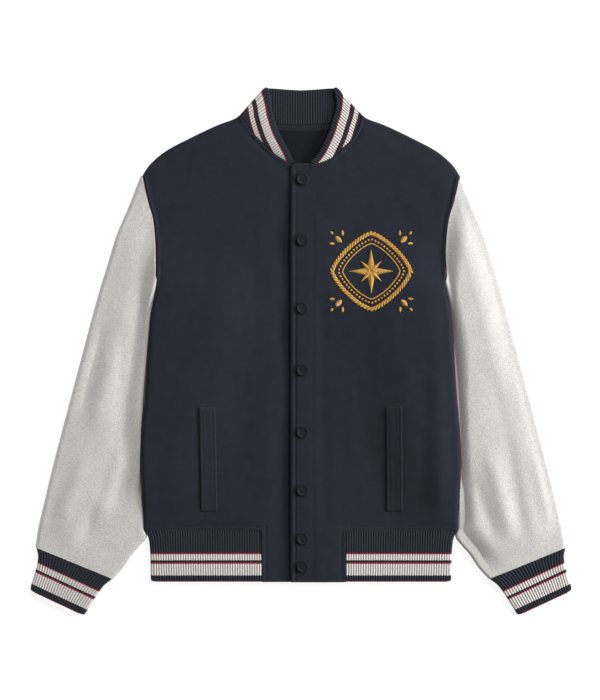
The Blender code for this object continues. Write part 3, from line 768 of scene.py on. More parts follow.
@dataclass(frozen=True)
class RibKnit(Finish):
    """Striped rib knit in acrylic yarn.

    The pattern coordinates are ribs along the band and millimetres from its free edge. Colour changes from
    one course to the next, so a stripe's edge is stepped by the stitches. Courses are 1.3 mm apart. Between
    the ribs the purl wales lie deep, and the shade in them is painted into the colour: the yarn is painted
    darker in each valley.
    """

    dark: str = Yarn.NAVY.value
    sheen: float = 0.05
    bump: float = 0.2
    courses: tuple[Course, ...] = ()
    deep_mm: float = 80.0
    course_mm: float = 1.3

    def pattern(self, tree: bpy.types.NodeTree) -> tuple[Union[Socket, Colour], Socket]:
        """Add the stripes, the painted shade in the ribs' valleys and the loops.

        Args:
            tree: The material's node tree.

        Returns:
            Colour, and height of the relief.
        """
        uv = node(tree, "ShaderNodeUVMap", uv_map="UVMap").outputs["UV"]
        part = node(tree, "ShaderNodeSeparateXYZ", {"Vector": uv}).outputs
        steps = {"rib": part["X"], "from edge": part["Y"]}
        for name, operation, *terms in (
                ("turn", "MULTIPLY", "rib", 2 * math.pi), ("cosine", "COSINE", "turn"),
                ("crest", "MULTIPLY_ADD", "cosine", -0.5, 1.0), ("round top", "POWER", "crest", 0.9),
                ("twice", "MULTIPLY", "turn", 2.0), ("stitch", "SINE", "twice"),
                ("stepped", "MULTIPLY_ADD", "stitch", 0.18, "from edge"),
                ("deep", "DIVIDE", "stepped", self.deep_mm),
                ("half", "MULTIPLY", "turn", 0.5), ("leg", "SINE", "half"), ("slant", "ABSOLUTE", "leg"),
                ("course", "DIVIDE", "from edge", self.course_mm),
                ("loop", "MULTIPLY_ADD", "slant", 0.7, "course"),
                ("loops", "MULTIPLY", "loop", 2 * math.pi), ("knit", "SINE", "loops")):
            inputs = {number: steps.get(term, term) for number, term in enumerate(terms)}
            steps[name] = node(tree, "ShaderNodeMath", inputs, operation=operation).outputs[0]
        stripes = node(tree, "ShaderNodeValToRGB", {"Fac": steps["deep"]})
        stripes.color_ramp.interpolation = "CONSTANT"
        stops = stripes.color_ramp.elements
        while len(stops) < len(self.courses):
            stops.new(1.0)
        for stop, course in zip(stops, self.courses):
            stop.position = course.start / self.deep_mm
            stop.color = linear(course.yarn.value)
        # painted shade: the yarn's colour is darkened in the valleys between the ribs
        shade = node(tree, "ShaderNodeMapRange", {
            "Value": steps["round top"], "From Min": 0.3, "From Max": 0.86, "To Min": 0.02, "To Max": 1.0},
            interpolation_type="SMOOTHSTEP")
        painted_valley_shade = node(tree, "ShaderNodeCombineColor", dict.fromkeys(("Red", "Green", "Blue"), shade.outputs[0]))
        colour = node(tree, "ShaderNodeMix", {
            "Factor": 1.0, "A": stripes.outputs["Color"], "B": painted_valley_shade.outputs[0]},
            data_type="RGBA", blend_type="MULTIPLY")
        return colour.outputs["Result"], steps["knit"]


@dataclass(frozen=True)
class Grained(Finish):
    """One even colour, with a grain so fine that it only breaks up the light."""

    grain_mm: float = 1.1

    def pattern(self, tree: bpy.types.NodeTree) -> tuple[Union[Socket, Colour], Socket]:
        """Add the grain.

        Args:
            tree: The material's node tree.

        Returns:
            Colour, and height of the relief.
        """
        place = node(tree, "ShaderNodeTexCoord").outputs["Object"]
        grain = node(tree, "ShaderNodeTexNoise", {
            "Vector": place, "Scale": 1000 / self.grain_mm, "Detail": 1.0})
        return linear(self.dark), grain.outputs["Fac"]


@dataclass(frozen=True)
class Thread(Grained):
    """Twisted polyester sewing thread, slightly brighter than the cloth that it is sewn in."""

    title: str = "polyester_thread_navy"
    dark: str = "#2B2E37"
    roughness: float = 0.6
    specular: float = 0.5
    bump_mm: float = 0.2


@dataclass(frozen=True)
class SnapPaint(Grained):
    """Brass snap cap under matt enamel: even, a little satin, finely orange-peeled."""

    title: str = "matt_enamel_navy"
    dark: str = "#191D26"
    roughness: float = 0.55
    specular: float = 0.22
    bump: float = 0.08
    grain_mm: float = 0.67


@dataclass(frozen=True)
class Twill(Finish):
    """Cotton twill tape: a fine diagonal weave, its ribs 1.2 mm apart."""

    title: str = "cotton_twill_tape"
    # navy tape painted darker than the melton: painted shade inside the neck
    dark: str = "#20242B"
    roughness: float = 0.85
    specular: float = 0.2
    rib_mm: float = 1.2

    def pattern(self, tree: bpy.types.NodeTree) -> tuple[Union[Socket, Colour], Socket]:
        """Add the weave; a wave texture has one wave in 6.3 units of its scale.

        Args:
            tree: The material's node tree.

        Returns:
            Colour, and height of the relief.
        """
        place = node(tree, "ShaderNodeTexCoord").outputs["Object"]
        weave = node(tree, "ShaderNodeTexWave", {"Vector": place, "Scale": 1000 / self.rib_mm / 6.3},
                     bands_direction="DIAGONAL")
        return linear(self.dark), weave.outputs["Fac"]


@dataclass(frozen=True)
class SatinStitch(Finish):
    """Rayon embroidery thread in satin stitch: bright parallel threads with a silky gloss.

    The pattern coordinates are millimetres along a shape and -1 to 1 across it. Threads are 0.4 mm apart,
    too fine to show, and are drawn 0.9 mm apart. Their shine is painted into the colour: each thread is
    painted lighter on its crest and darker beside it, and one half of a ridge lighter than the other, as
    their threads slant apart.
    """

    title: str = "rayon_satin_gold"
    dark: str = "#8E5C14"
    light: str = "#F2BC52"
    roughness: float = 0.45
    specular: float = 0.5
    bump: float = 0.5
    thread_mm: float = 0.9
    patch_mm: float = 2.5

    def pattern(self, tree: bpy.types.NodeTree) -> tuple[Union[Socket, Colour], Socket]:
        """Add the threads and their painted shine.

        Args:
            tree: The material's node tree.

        Returns:
            Colour, and height of the relief.
        """
        uv = node(tree, "ShaderNodeUVMap", uv_map="UVMap").outputs["UV"]
        part = node(tree, "ShaderNodeSeparateXYZ", {"Vector": uv}).outputs
        place = node(tree, "ShaderNodeTexCoord").outputs["Object"]
        patch = node(tree, "ShaderNodeTexNoise", {
            "Vector": place, "Scale": 1000 / self.patch_mm, "Detail": 2.0})
        steps = {"along": part["X"], "across": part["Y"], "patch": patch.outputs["Fac"]}
        # painted shine: lighter on each thread's crest, darker between, and lighter on one half of a ridge,
        # over random patches
        for name, operation, *terms in (
                ("turn", "MULTIPLY", "along", 2 * math.pi / self.thread_mm), ("wave", "SINE", "turn"),
                ("thread_shine_and_patch", "MULTIPLY_ADD", "wave", 0.22, "patch"),
                ("half", "MULTIPLY_ADD", "across", 0.16, "thread_shine_and_patch")):
            inputs = {number: steps.get(term, term) for number, term in enumerate(terms)}
            steps[name] = node(tree, "ShaderNodeMath", inputs, operation=operation).outputs[0]
        colour = node(tree, "ShaderNodeMix", {"Factor": steps["half"], "A": linear(self.dark),
                                              "B": linear(self.light)}, data_type="RGBA", clamp_factor=True)
        return colour.outputs["Result"], steps["wave"]


@dataclass(frozen=True)
class Paper(Finish):
    """Seamless background paper on a lit table, whose glow leaves hardly any shadow on it."""

    title: str = "white_paper"
    dark: str = "#808080"
    roughness: float = 0.95
    specular: float = 0.0
    glow: float = 0.88

    def shader(self, tree: bpy.types.NodeTree) -> bpy.types.Node:
        """Add the shader, which has no relief.

        Args:
            tree: The material's node tree.

        Returns:
            The shader's node.
        """
        return node(tree, "ShaderNodeBsdfPrincipled", {
            "Base Color": linear(self.dark), "Roughness": self.roughness, "Specular IOR Level": self.specular,
            "Emission Color": (1.0, 1.0, 1.0, 1.0), "Emission Strength": self.glow})


HEM_YARNS = (Yarn.RED, Yarn.NAVY, Yarn.WHITE) * 3
COLLAR_YARNS = (Yarn.NAVY, Yarn.RED, Yarn.WHITE, Yarn.RED) * 3
HEM_COURSES = tuple(map(Course, (0.0, 1.3, 9.6, 26.3, 28.3, 31.6, 40.6, 42.4), HEM_YARNS))
CUFF_COURSES = tuple(map(Course, (0.0, 1.3, 10.4, 28.1, 29.8, 32.8, 41.5, 43.0), HEM_YARNS))
COLLAR_COURSES = tuple(map(Course, (0.0, 8.0, 9.4, 20.5, 21.2, 26.6, 27.8, 34.0, 34.9), COLLAR_YARNS))
MELTON_NAVY = Melton()
# the back's melton is the same navy cloth, painted darker: painted shade inside the neck
MELTON_PAINTED_SHADE = Melton(title="wool_melton_navy_painted_shade", dark="#16191F", light="#1D2027")
FLEECE_CREAM = Fleece()
THREAD_NAVY = Thread()
THREAD_RED = Thread(title="polyester_thread_red", dark="#8B2430")
THREAD_CREAM = Thread(title="polyester_thread_cream", dark="#B9B6B0")


# ---------------------------------------------------------------- body


def quarter(centre: Sequence[float], radius: float, steps: int) -> Array:
    """A quarter circle in plan, from straight left of its centre to straight above it."""
    turn = np.linspace(np.pi, np.pi / 2, steps)
    return centre + radius * np.stack([np.cos(turn), np.sin(turn)], -1)


def roll_share(up: Number) -> Array:
    """How much of the side's rolled edge is there: all of it up to the underarm, none ROLL_FADE above it."""
    return smooth((UNDERARM + ROLL_FADE - up) / ROLL_FADE)


@dataclass
class Body:
    """The back and the two fronts."""

    rows: int = 112
    back_columns: int = 60
    tab_rows: int = 18
    top_up: float = 592.5
    tip_up: float = 600.0
    corner: tuple[float, float] = (-9.0, 609.0)
    corner_radius: float = 7.0
    corner_steps: int = 12
    stitch_in: float = 7.5
    stitch_corner: tuple[float, float] = (-4.5, 604.5)
    stitch_up: float = HEM_SEAM + 4.6

    @staticmethod
    def neck_line(side: int) -> Array:
        """The neckline of one side, smooth, from the placket to the shoulder."""
        run = arc_of(NECK[side])
        return np.stack([eased(np.linspace(0, run[-1], 120), run, column) for column in NECK[side].T], -1)

    @staticmethod
    def shoulder_line() -> Array:
        """The shoulder, smooth, from the neck to its tip."""
        across = np.linspace(*SHOULDER[[0, -1], 0], 120)
        return np.stack([across, eased(across, *SHOULDER.T)], -1)

    def top_line(self, side: int) -> Array:
        """A front's upper edge.

        Args:
            side: 1 for the wearer's left, whose placket has a round corner.

        Returns:
            The placket's top, the neckline and the shoulder, in plan.
        """
        placket = [PLACKET_TOP[-1]]
        if side > 0:
            placket = [quarter(self.corner, self.corner_radius, self.corner_steps),
                       [(3, 616), (12.6, 616), (15, 615.3)]]
        return np.vstack([*placket, self.neck_line(side), self.shoulder_line()[1:]])

    @staticmethod
    def roll(ups: Array) -> Array:
        """Radius of the side's rolled edge: larger where the body rides over the tucked sleeve."""
        return BODY_ROLL + 2.4 * lift(side_across(ups) - 8, ups) / LIFT

    def high(self, side: int, x: Array, y: Array) -> Array:
        """Height of a front's face, without its fine relief.

        It rides up over the tucked sleeve, and comes down along the left armhole, toward the hem, at its
        side and at the shoulder. The right front dips beneath the left one, which rides over it.

        Args:
            side: 1 for the wearer's left.
            x: The points' places across.
            y: Their places up.

        Returns:
            The heights.
        """
        left = float(side > 0)
        off_side = side_across(y) - x
        arm = left * smooth((y - UNDERARM + 6) / 46) * (1 - smooth((off_side - 4) / 66))
        z = BODY_HIGH + mix(1.9 * lift(x, y, 105.0) * mix(0.3, 1.0, smooth((y - 74) / 90)), lift(x, y), arm)
        z = z - mix(0.5, 3.0, left) * lift(side_across(y) - 8, y) / LIFT * (1 - smooth(off_side / 34))
        z = z - 1.6 * (1 - smooth(off_line(x, y, SHOULDER) / 30)) * smooth(off_line(x, y, NECK[side]) / 30)
        z = z + folds_at(BODY_FOLDS, side, x, y)
        if side > 0:
            return z + mix(1.9, 2.6, smooth((606 - y) / 50)) * smooth((84 - x) / 58)
        return z - (0.8 + 1.2 * smooth((600 - y) / 45)) * smooth((618 - y) / 12) * smooth((64 - x) / 38)

    def edge_high(self, side: int, x: Array, y: Array, share: float = 1.0) -> Array:
        """Height of a front's edge at its side, or a share of the way down its roll."""
        return self.high(side, x, y) - self.roll(y) * fall(share * roll_share(y))

    def surface(self, side: int, x: Array, y: Array) -> Array:
        """Height of a front's face, with its fine relief."""
        return self.high(side, x, y) + self.relief(side, x, y)

    def stitch_lines(self, side: int) -> list[Array]:
        """The lines of topstitching on a front.

        Args:
            side: 1 for the wearer's left, whose placket is stitched along its edge.

        Returns:
            Round the hem's tab, above the hem, beside the armhole, and below the neckline, in plan.
        """
        neck, edge, seam_end = self.neck_line(side), TAB_ENDS[side] - 6.0, TAB_ENDS[side] + 8
        slope = unit(np.gradient(neck, axis=0))
        below = (neck + 6.5 * np.stack([slope[:, 1], -slope[:, 0]], -1))[4:-3]
        if side > 0:
            corner = quarter(self.stitch_corner, self.stitch_in - 3.5, 8)
            below = np.vstack([[(-LAP + self.stitch_in, 1.5)], corner, below[below[:, 0] > 20]])
        arm_up = np.linspace(UNDERARM + 8, 590, 60)
        return [np.array([(edge, 1.5), (edge, self.stitch_up), (seam_end, self.stitch_up)]),
                np.array([(seam_end, self.stitch_up), (225, self.stitch_up)]),
                np.stack([side_across(arm_up) - 6.0, arm_up], -1), below]

    def relief(self, side: int, x: Array, y: Array) -> Array:
        """Fine relief of a front.

        It is uneven cloth, grooves under the topstitching, the placket's folded edge, which falls as a
        quarter circle does over its last 3 mm, and a ridge and a groove at each seam.

        Args:
            side: 1 for the wearer's left.
            x: The points' places across.
            y: Their places up.

        Returns:
            Heights over the plain face.
        """
        z = 0.8 * wander(x, y, 11 + side, 130) + 0.16 * wander(x, y, 21 + side, 24)
        if side < 0:
            z = z * smooth((x + 4) / 20)
        for line in self.stitch_lines(side):
            z = z - 1.05 * bell(off_line(x, y, line) / 1.5)
        if side > 0:
            edge = off_line(x, y, np.vstack([[(-LAP, -9.0)], self.top_line(1)[:self.corner_steps + 3]]))
            z = z + 0.5 * bell((edge - 4.2) / 2.6) - 1.9 * fall(np.clip(1 - edge / 3.2, 0, 1))
            z = z - 0.3 * bell((x - 17.0) / 3.0) * smooth((560 - y) / 40)
        neck = off_line(x, y, self.neck_line(side))
        z = z + 1.0 * bell((neck - 3.2) / 2.4) - 0.5 * bell(neck / 0.9) - 0.3 * bell((neck - 6.8) / 1.4)
        above_hem, off_tab = y - HEM_SEAM, x - TAB_ENDS[side]
        z = z + smooth(off_tab / 4) * (0.8 * bell((above_hem - 2.2) / 1.7) - 0.7 * bell(above_hem / 1.0))
        z = z + 0.6 * bell((off_tab + 2.6) / 2.0) * smooth((2 - above_hem) / 4)
        arm = side_across(np.maximum(y, UNDERARM)) - x
        return z + smooth((y - UNDERARM) / 20) * (0.8 * bell((arm - 3.0) / 2.4) - 1.0 * bell(arm / 1.6))

    def front_plan(self, side: int) -> tuple[Array, Array, Array]:
        """Work out a front's plan, with its rolls at the side and the shoulder, and its hem tab.

        The face is blended between its four edges. Each line of it starts at a place on the hem seam and
        ends at a place on the upper edge, and the places between those in the tables are eased.

        Args:
            side: 1 for the wearer's left.

        Returns:
            Points (across, up), the height up of each row, and each column's share of the shoulder's roll.
        """
        line, shoulder = self.top_line(side), self.shoulder_line()
        end_x = float(side_across(self.top_up) - self.roll(self.top_up))
        end = (end_x, float(np.interp(end_x, *shoulder.T)))
        ends = np.vstack([PLACKET_TOP[side], NECK[side], SHOULDER[list(SHOULDER_HEMS)], end])
        marks = arc_of(line)[np.linalg.norm(line[:, None] - ends, axis=-1).argmin(0)]
        starts = [*FRONT_HEMS[side], *SHOULDER_HEMS.values(), SIDE[0, 0] - BODY_ROLL]
        middle, bend, tab = starts[0], -4 if side > 0 else 0, TAB_ENDS[side]
        hems = np.concatenate([np.linspace(middle, bend, 16)[:-1], np.linspace(bend, tab, 34)[:-1],
                               np.linspace(tab, starts[-1], 74)])
        edge = along(line, eased(hems, starts, marks))
        rolled = smooth((edge[:, 0] - 86) / 10)
        slope = np.gradient(edge[:, 1], np.maximum.accumulate(edge[:, 0] + np.arange(len(edge)) * 1e-6))
        tops = edge - grid(0.0, BODY_ROLL * np.sqrt(1 + np.where(rolled > 0, slope, 0.0)**2))
        v = np.linspace(0, 1, self.rows)
        ups = mix(HEM_SEAM, self.top_up, v)
        plan = blend((hems - middle) / (hems[-1] - middle), v, grid(hems, HEM_SEAM), tops,
                     grid(middle, mix(HEM_SEAM, tops[0, 1], v)),
                     np.stack([side_across(ups) - self.roll(ups), ups + (tops[-1, 1] - self.top_up) * v], -1))
        # the roll's columns outside the last one, its rows above the last one, and the tab's rows below
        rolls = ROLLS[1:]
        plan = np.concatenate([plan, grid((side_across(ups)[:, None] - self.roll(ups)[:, None] * rolls),
                                          mix(ups[:, None], plan[:, -1:, 1], rolls))], 1)
        tip_x = mix(SIDE[-1, 0], end_x, rolls)
        final = np.vstack([edge, np.stack([tip_x, np.interp(tip_x, *shoulder.T)], -1)])
        down = grid(plan[0, :, 0], np.linspace(0, HEM_SEAM, self.tab_rows + 1)[:-1, None])
        plan = np.concatenate([down, plan, mix(final, plan[-1], rolls[:, None, None])])
        at = np.concatenate([np.full(self.tab_rows, HEM_SEAM), ups, np.full(len(rolls), self.tip_up)])
        return plan, at, np.concatenate([rolled, np.ones(len(rolls))])

    def front(self, side: int) -> tuple[Shell, Array]:
        """Work out a front.

        Its face ends in rolls of quarter circles at the side and over the shoulder: a point a share r of
        the radius in from the edge falls by the radius times 1 - sqrt(1 - (1 - r)^2).

        Args:
            side: 1 for the wearer's left.

        Returns:
            Its wall, and the plain outer face.
        """
        plan, at, rolled = self.front_plan(side)
        x, y = plan[..., 0], plan[..., 1]
        count = len(ROLLS)
        sine_u, sine_v = np.zeros(x.shape), np.zeros(x.shape)
        sine_u[:, -count:] = roll_share(at)[:, None] * (1 - ROLLS)
        sine_v[-count:] = rolled * (1 - ROLLS)[:, None]
        z = self.high(side, x, y) - self.roll(at)[:, None] * fall(sine_u) - BODY_ROLL * fall(sine_v)
        plain = raised(plan, z)
        normal = normals(plain)
        outer = plain + (self.relief(side, x, y) * (1 - sine_u) * (1 - sine_v))[..., None] * normal
        keep = np.ones((plan.shape[0] - 1, plan.shape[1] - 1), bool)
        keep[:self.tab_rows] = plan[0, 1:, 0] <= TAB_ENDS[side] + 0.01
        return Shell(outer, plain - MELTON * normal, keep=keep), plain

    def back(self) -> tuple[Shell, Array]:
        """Work out the back: flat on the surface, and raised over the tucked sleeves.

        Returns:
            Its wall, and its upper face.
        """
        line = np.vstack([BACK_NECK, self.shoulder_line()[4:]])
        across = np.linspace(0, SIDE[-1, 0], self.back_columns)
        tops = np.stack([across, np.interp(across, *line.T)], -1)
        u, v = across / across[-1], np.linspace(0, 1, self.rows // 2)
        ups = mix(HEM_SEAM, SIDE[-1, 1], v)
        half = blend(u, v, grid(SIDE[0, 0] * u, HEM_SEAM), tops, grid(0.0, mix(HEM_SEAM, tops[0, 1], v)),
                     np.stack([side_across(ups), ups], -1))
        plan = np.concatenate([half[:, :0:-1] * [-1, 1], half], 1)
        z = lift(plan[..., 0], plan[..., 1])
        upper = raised(plan, z + MELTON)
        return Shell(upper, raised(plan, z)), upper

    def build(self) -> None:
        """Make the back and the fronts."""
        shell, plain = self.back()
        # the back shows only inside the neck, where its darker melton is painted shade
        back = piece("cloth_back", shell.lot(), MELTON_PAINTED_SHADE, "melton", "back_panel")
        for side in Side:
            name = f"front_{side.name.lower()}"
            shell, plain = self.front(side.value)
            made = piece(f"cloth_{name}", shell.lot(side.value), MELTON_NAVY, "melton", name)


# ---------------------------------------------------------------- sleeves


@dataclass
class Sleeve:
    """One sleeve: a top sleeve over an under sleeve, folded flat, its inner part behind the body."""

    side: Side
    body: Body
    rows: int = 150
    seen_columns: int = 74
    strip_columns: int = 8
    dome: float = 7.6

    def plan(self) -> tuple[Array, int]:
        """Work out the sleeve's plan, the mouth and armhole first and the cuff seam last.

        The strip behind the body runs straight from the inner edge to the crease. The seen part is
        blended between its four edges, and ends in the columns of its outer roll.

        Returns:
            Points (across, up), and the crease's column.
        """
        index = np.arange(len(SLEEVE), dtype=float)
        t = np.linspace(0, index[-1], self.rows)
        lines = np.stack([eased(t, index, column) for column in SLEEVE.T], -1)
        inner, crease, outer = np.split(lines, 3, axis=1)
        strip = inner[:, None] + ROLLS[::-1, None] * TUCK_ROLL * unit(crease - inner)[:, None]
        shares = np.linspace(0, 1, self.strip_columns + 1)[1:, None]
        strip = np.concatenate([strip, mix(strip[:, -1:], crease[:, None], shares)], 1)
        ups = np.linspace(UNDERARM, self.body.top_up, 200)
        arm = np.stack([side_across(ups), ups], -1)
        u, v = np.linspace(0, 1, self.seen_columns)[1:], np.linspace(0, 1, self.rows)
        cap = along(arm, u * arc_of(arm)[-1])
        tangent = unit(np.gradient(outer, axis=0))
        out = np.stack([-tangent[:, 1], tangent[:, 0]], -1)
        out[-1] = unit(outer[-1] - crease[-1])
        edge = outer - SLEEVE_ROLL * out
        edge[0] = cap[-1]
        low = mix(crease[-1], edge[-1], u[:, None])
        seen = blend(u, v, cap, low, crease, edge, first=(crease[0], crease[-1]))
        rim = outer[:, None] - ROLLS[1:, None] * SLEEVE_ROLL * out[:, None]
        tips = mix(SIDE[-1, 1], self.body.top_up, ROLLS[1:])
        rim[0] = np.stack([side_across(tips), tips], -1)
        return np.concatenate([strip, seen, rim], 1), strip.shape[1] - 1

    def swell(self, beside: Array, edge: Array, cuff: Array, y: Array) -> Array:
        """How the top sleeve swells over the height of its tucked part.

        The right one falls away over 40 mm beside the body to a trough, beyond which it swells. The left
        one swells straight away, higher and wider toward the underarm.

        Args:
            beside: Distance from the crease.
            edge: Distance from the outer edge.
            cuff: Distance from the cuff seam.
            y: The points' places up.

        Returns:
            The heights.
        """
        if self.side is Side.RIGHT:
            along_body = smooth((y - 100) / 110) * (1 - 0.7 * smooth((y - 365) / 50))
            own = 5.2 * smooth(beside / 3.2) * (1 - smooth((beside - 4) / 40)) * along_body
            rise = 2.6 * smooth((beside - 42) / 44) * smooth(edge / 56)
            return own + 0.8 + 1.0 * smooth((beside - 42) / 40) + rise * smooth(cuff / 46)
        upper = smooth((y - 250) / 110)
        share = np.clip(beside / mix(23.0, 44.0, upper), 0, 1)
        rise = self.dome * mix(0.75, 1.2, upper) * (1.5 * share - 0.5 * share**3)
        return 1.2 * smooth(beside / 32) + rise * smooth(edge / 50) * smooth(cuff / 46)

    def heights(self, plan: Array, crease: int) -> tuple[Array, Array, Array]:
        """Work out the sleeve's heights: near the armhole they follow the body's edge.

        Args:
            plan: The sleeve's plan.
            crease: The crease's column.

        Returns:
            Height of the top sleeve, its fine relief, and how far the under sleeve is raised.
        """
        x, y = plan[..., 0], plan[..., 1]
        seen = np.arange(plan.shape[1]) > crease
        beside, edge, cap, cuff = (np.linalg.norm(plan - line, axis=-1) for line in (
            plan[:, crease:crease + 1], plan[:, -1:], plan[:1], plan[-1:]))
        beside = beside * seen
        near = smooth(1 - cap / (92 if self.side is Side.RIGHT else 60)) * seen * smooth(beside / 16)
        own = TUCK_HIGH + self.swell(beside, edge, cuff, y)
        plain = mix(own, self.body.edge_high(self.side.value, x[:1], y[:1]) - 1.0, near)
        calm = smooth(beside / 10) * smooth((edge - SLEEVE_ROLL) / 16) * (1 - smooth(1 - cap / 26))
        folds = folds_at(SLEEVE_FOLDS, self.side.value, x, y) * calm * smooth(cuff / 26)
        plain = np.maximum(plain + folds, np.minimum(plain, TUCK_HIGH + 0.2))
        side = self.side.value
        fine = (0.7 * wander(x, y, 31 + side, 70) + 0.14 * wander(x, y, 41 + side, 16)) * calm
        seam = 1.2 * bell((cuff - 2.4) / 1.9) - 1.0 * bell((cuff - 6.4) / 1.5) - 0.5 * bell(cuff / 1.2)
        seam = seam - 0.5 * bell(cap / 1.3)
        return plain, fine + seam * smooth(beside / 6), lift(x[:1], y[:1]) * near

    def build(self) -> Array:
        """Make the sleeve.

        Returns:
            The top sleeve's outer grid.
        """
        plan, crease = self.plan()
        plain, fine, up = self.heights(plan, crease)
        steps, cols = len(ROLLS), plan.shape[1]
        drop = 1 - np.cos(np.linspace(0, np.pi / 2, steps))
        points = raised(plan, plain)
        points[:, :steps, 2] = TUCK_HIGH - TUCK_ROLL * drop[::-1]
        points[:, -steps:, 2] = plain[:, -1:] - SLEEVE_ROLL * drop
        outer = points + fine[..., None] * UP
        name, side = f"sleeve_{self.side.name.lower()}", self.side.value
        shell = Shell(outer, points - FLEECE * normals(points))
        top = piece(f"cloth_{name}_top", shell.lot(side), FLEECE_CREAM, "fleece", f"{name}_top")
        picks = np.unique(np.concatenate([[0], np.arange(steps, cols - steps, 4), [cols - 1]]))
        upper, lower = (raised(plan[:, picks], up[:, picks] + high) for high in (FLEECE, 0.0))
        shell = Shell(upper, lower)
        under = piece(f"cloth_{name}_under", shell.lot(side), FLEECE_CREAM, "fleece", f"{name}_under")
        return outer


# ---------------------------------------------------------------- ribs


def rounding(from_edge: Array, radius: float, share: float) -> Array:
    """How far a band's face falls toward its free edge: a share of a quarter circle."""
    return share * radius * fall(np.clip(1 - from_edge / radius, 0, 1))


def rib_relief(phase: Array) -> Array:
    """How far ribs stand out: RIB_HIGH (0.5 - 0.5 cos)^0.75, so 0 in a valley, where the phase is whole."""
    return RIB_HIGH * np.power(0.5 - 0.5 * np.cos(2 * np.pi * phase), 0.75)


def ribbed(plain: Array, phase: Array, drop: Array, wrapped: bool = False) -> tuple[Array, Array, Array]:
    """Raise ribs out of a band's plain face.

    Where the band lies on the surface below, the ribs' tops are level with it, and their valleys are above.

    Args:
        plain: Points of the plain face.
        phase: Ribs along the band, for each column.
        drop: How far the face falls toward the free edge.
        wrapped: Whether the last column joins the first.

    Returns:
        Points of the ribbed face, the plain face's normals, and which points lie on the surface below.
    """
    ring = np.concatenate([plain[:, -1:], plain, plain[:, :1]], 1) if wrapped else plain
    normal = normals(ring)[:, 1:-1] if wrapped else normals(plain)
    normal = normal * np.sign(normal[5, 10, 2])
    lying = plain[..., 2] < 0.01
    wave = rib_relief(phase) - RIB_HIGH * lying - drop
    return plain + wave[..., None] * normal, normal, lying


def half_ring(steps: int) -> tuple[Array, Array]:
    """Cosine and sine of the angles of a half circle, from its top outwards and down, without its ends."""
    angle = np.linspace(np.pi / 2, -np.pi / 2, steps + 2)[1:-1]
    return np.cos(angle), np.sin(angle)


@dataclass
class HemRib:
    """The hem's band, from the left tab round behind the back to the right tab."""

    body: Body
    finish: RibKnit = RibKnit(title="rib_knit_hem", courses=HEM_COURSES)
    ribs: dict[int, int] = field(default_factory=lambda: {1: 42, -1: 44})
    back_ribs: int = 118
    bend_ribs: int = 3
    rows: int = 24

    def half(self, sign: int, ups: Array, side: Array) -> tuple[Array, Array]:
        """Work out a front half and the half circle at its side.

        Up by the seam the band is as high as the body's lower edge.

        Args:
            sign: 1 for the wearer's left.
            ups: Height up of each row.
            side: Where each row's half circle starts.

        Returns:
            Points, and ribs counted from the tab.
        """
        tab, n, count = TAB_ENDS[sign] + 0.1, self.ribs[sign], self.bend_ribs * POINTS_A_RIB
        straight = eased(ups, [0, 37, HEM_SEAM], [219.0, 220.8, 222.0]) - HEM_ROLL
        t = np.linspace(0, 1, n * POINTS_A_RIB + 1)
        x = tab + (straight - tab) * t + (side - straight) * t ** 18
        body = self.body.high(sign, x[0], np.full(x.shape[1], HEM_SEAM)) - 0.2 - RIB_HIGH - 2 * HEM_ROLL
        rise = body * smooth((ups - 10) / 60) * smooth((side - x) / 20)
        cos, sin = half_ring(count)
        front = grid(sign * x, ups, 2 * HEM_ROLL + rise)
        bend = grid(sign * (side + HEM_ROLL * cos), ups, HEM_ROLL * (1 + sin))
        ribs = np.concatenate([t * n, n + np.arange(1, count + 1) / POINTS_A_RIB])
        return np.concatenate([front, bend], 1), ribs

    def build(self) -> None:
        """Make the band: flat, a half circle at each side, ribs standing out along its outer face."""
        ups = (HEM_SEAM - 0.1) * (1 - smooth(np.linspace(0, 1, self.rows)))[:, None]
        side = eased(ups, HEM_SIDE[:, 1], HEM_SIDE[:, 0]) - HEM_ROLL
        (left, left_ribs), (right, right_ribs) = (self.half(sign, ups, side) for sign in (1, -1))
        t = np.linspace(0, 1, self.back_ribs * POINTS_A_RIB + 1)
        plain = np.concatenate([left, grid(side * (1 - 2 * t), ups, 0.0), right[:, ::-1]], 1)
        phase = np.concatenate([left_ribs, left_ribs[-1] + t * self.back_ribs, right_ribs[::-1]])
        outer, normal, _ = ribbed(plain, phase, rounding(ups, 2.6, 0.9))
        inner = plain - RIB_WALL * normal
        inner[..., 2] = np.where(plain[..., 2] > 6.0, np.minimum(inner[..., 2], 4.9), inner[..., 2])
        made = piece("rib_hem", Shell(outer, inner, uv=grid(phase, ups)).lot(), self.finish, "rib", "hem_rib")


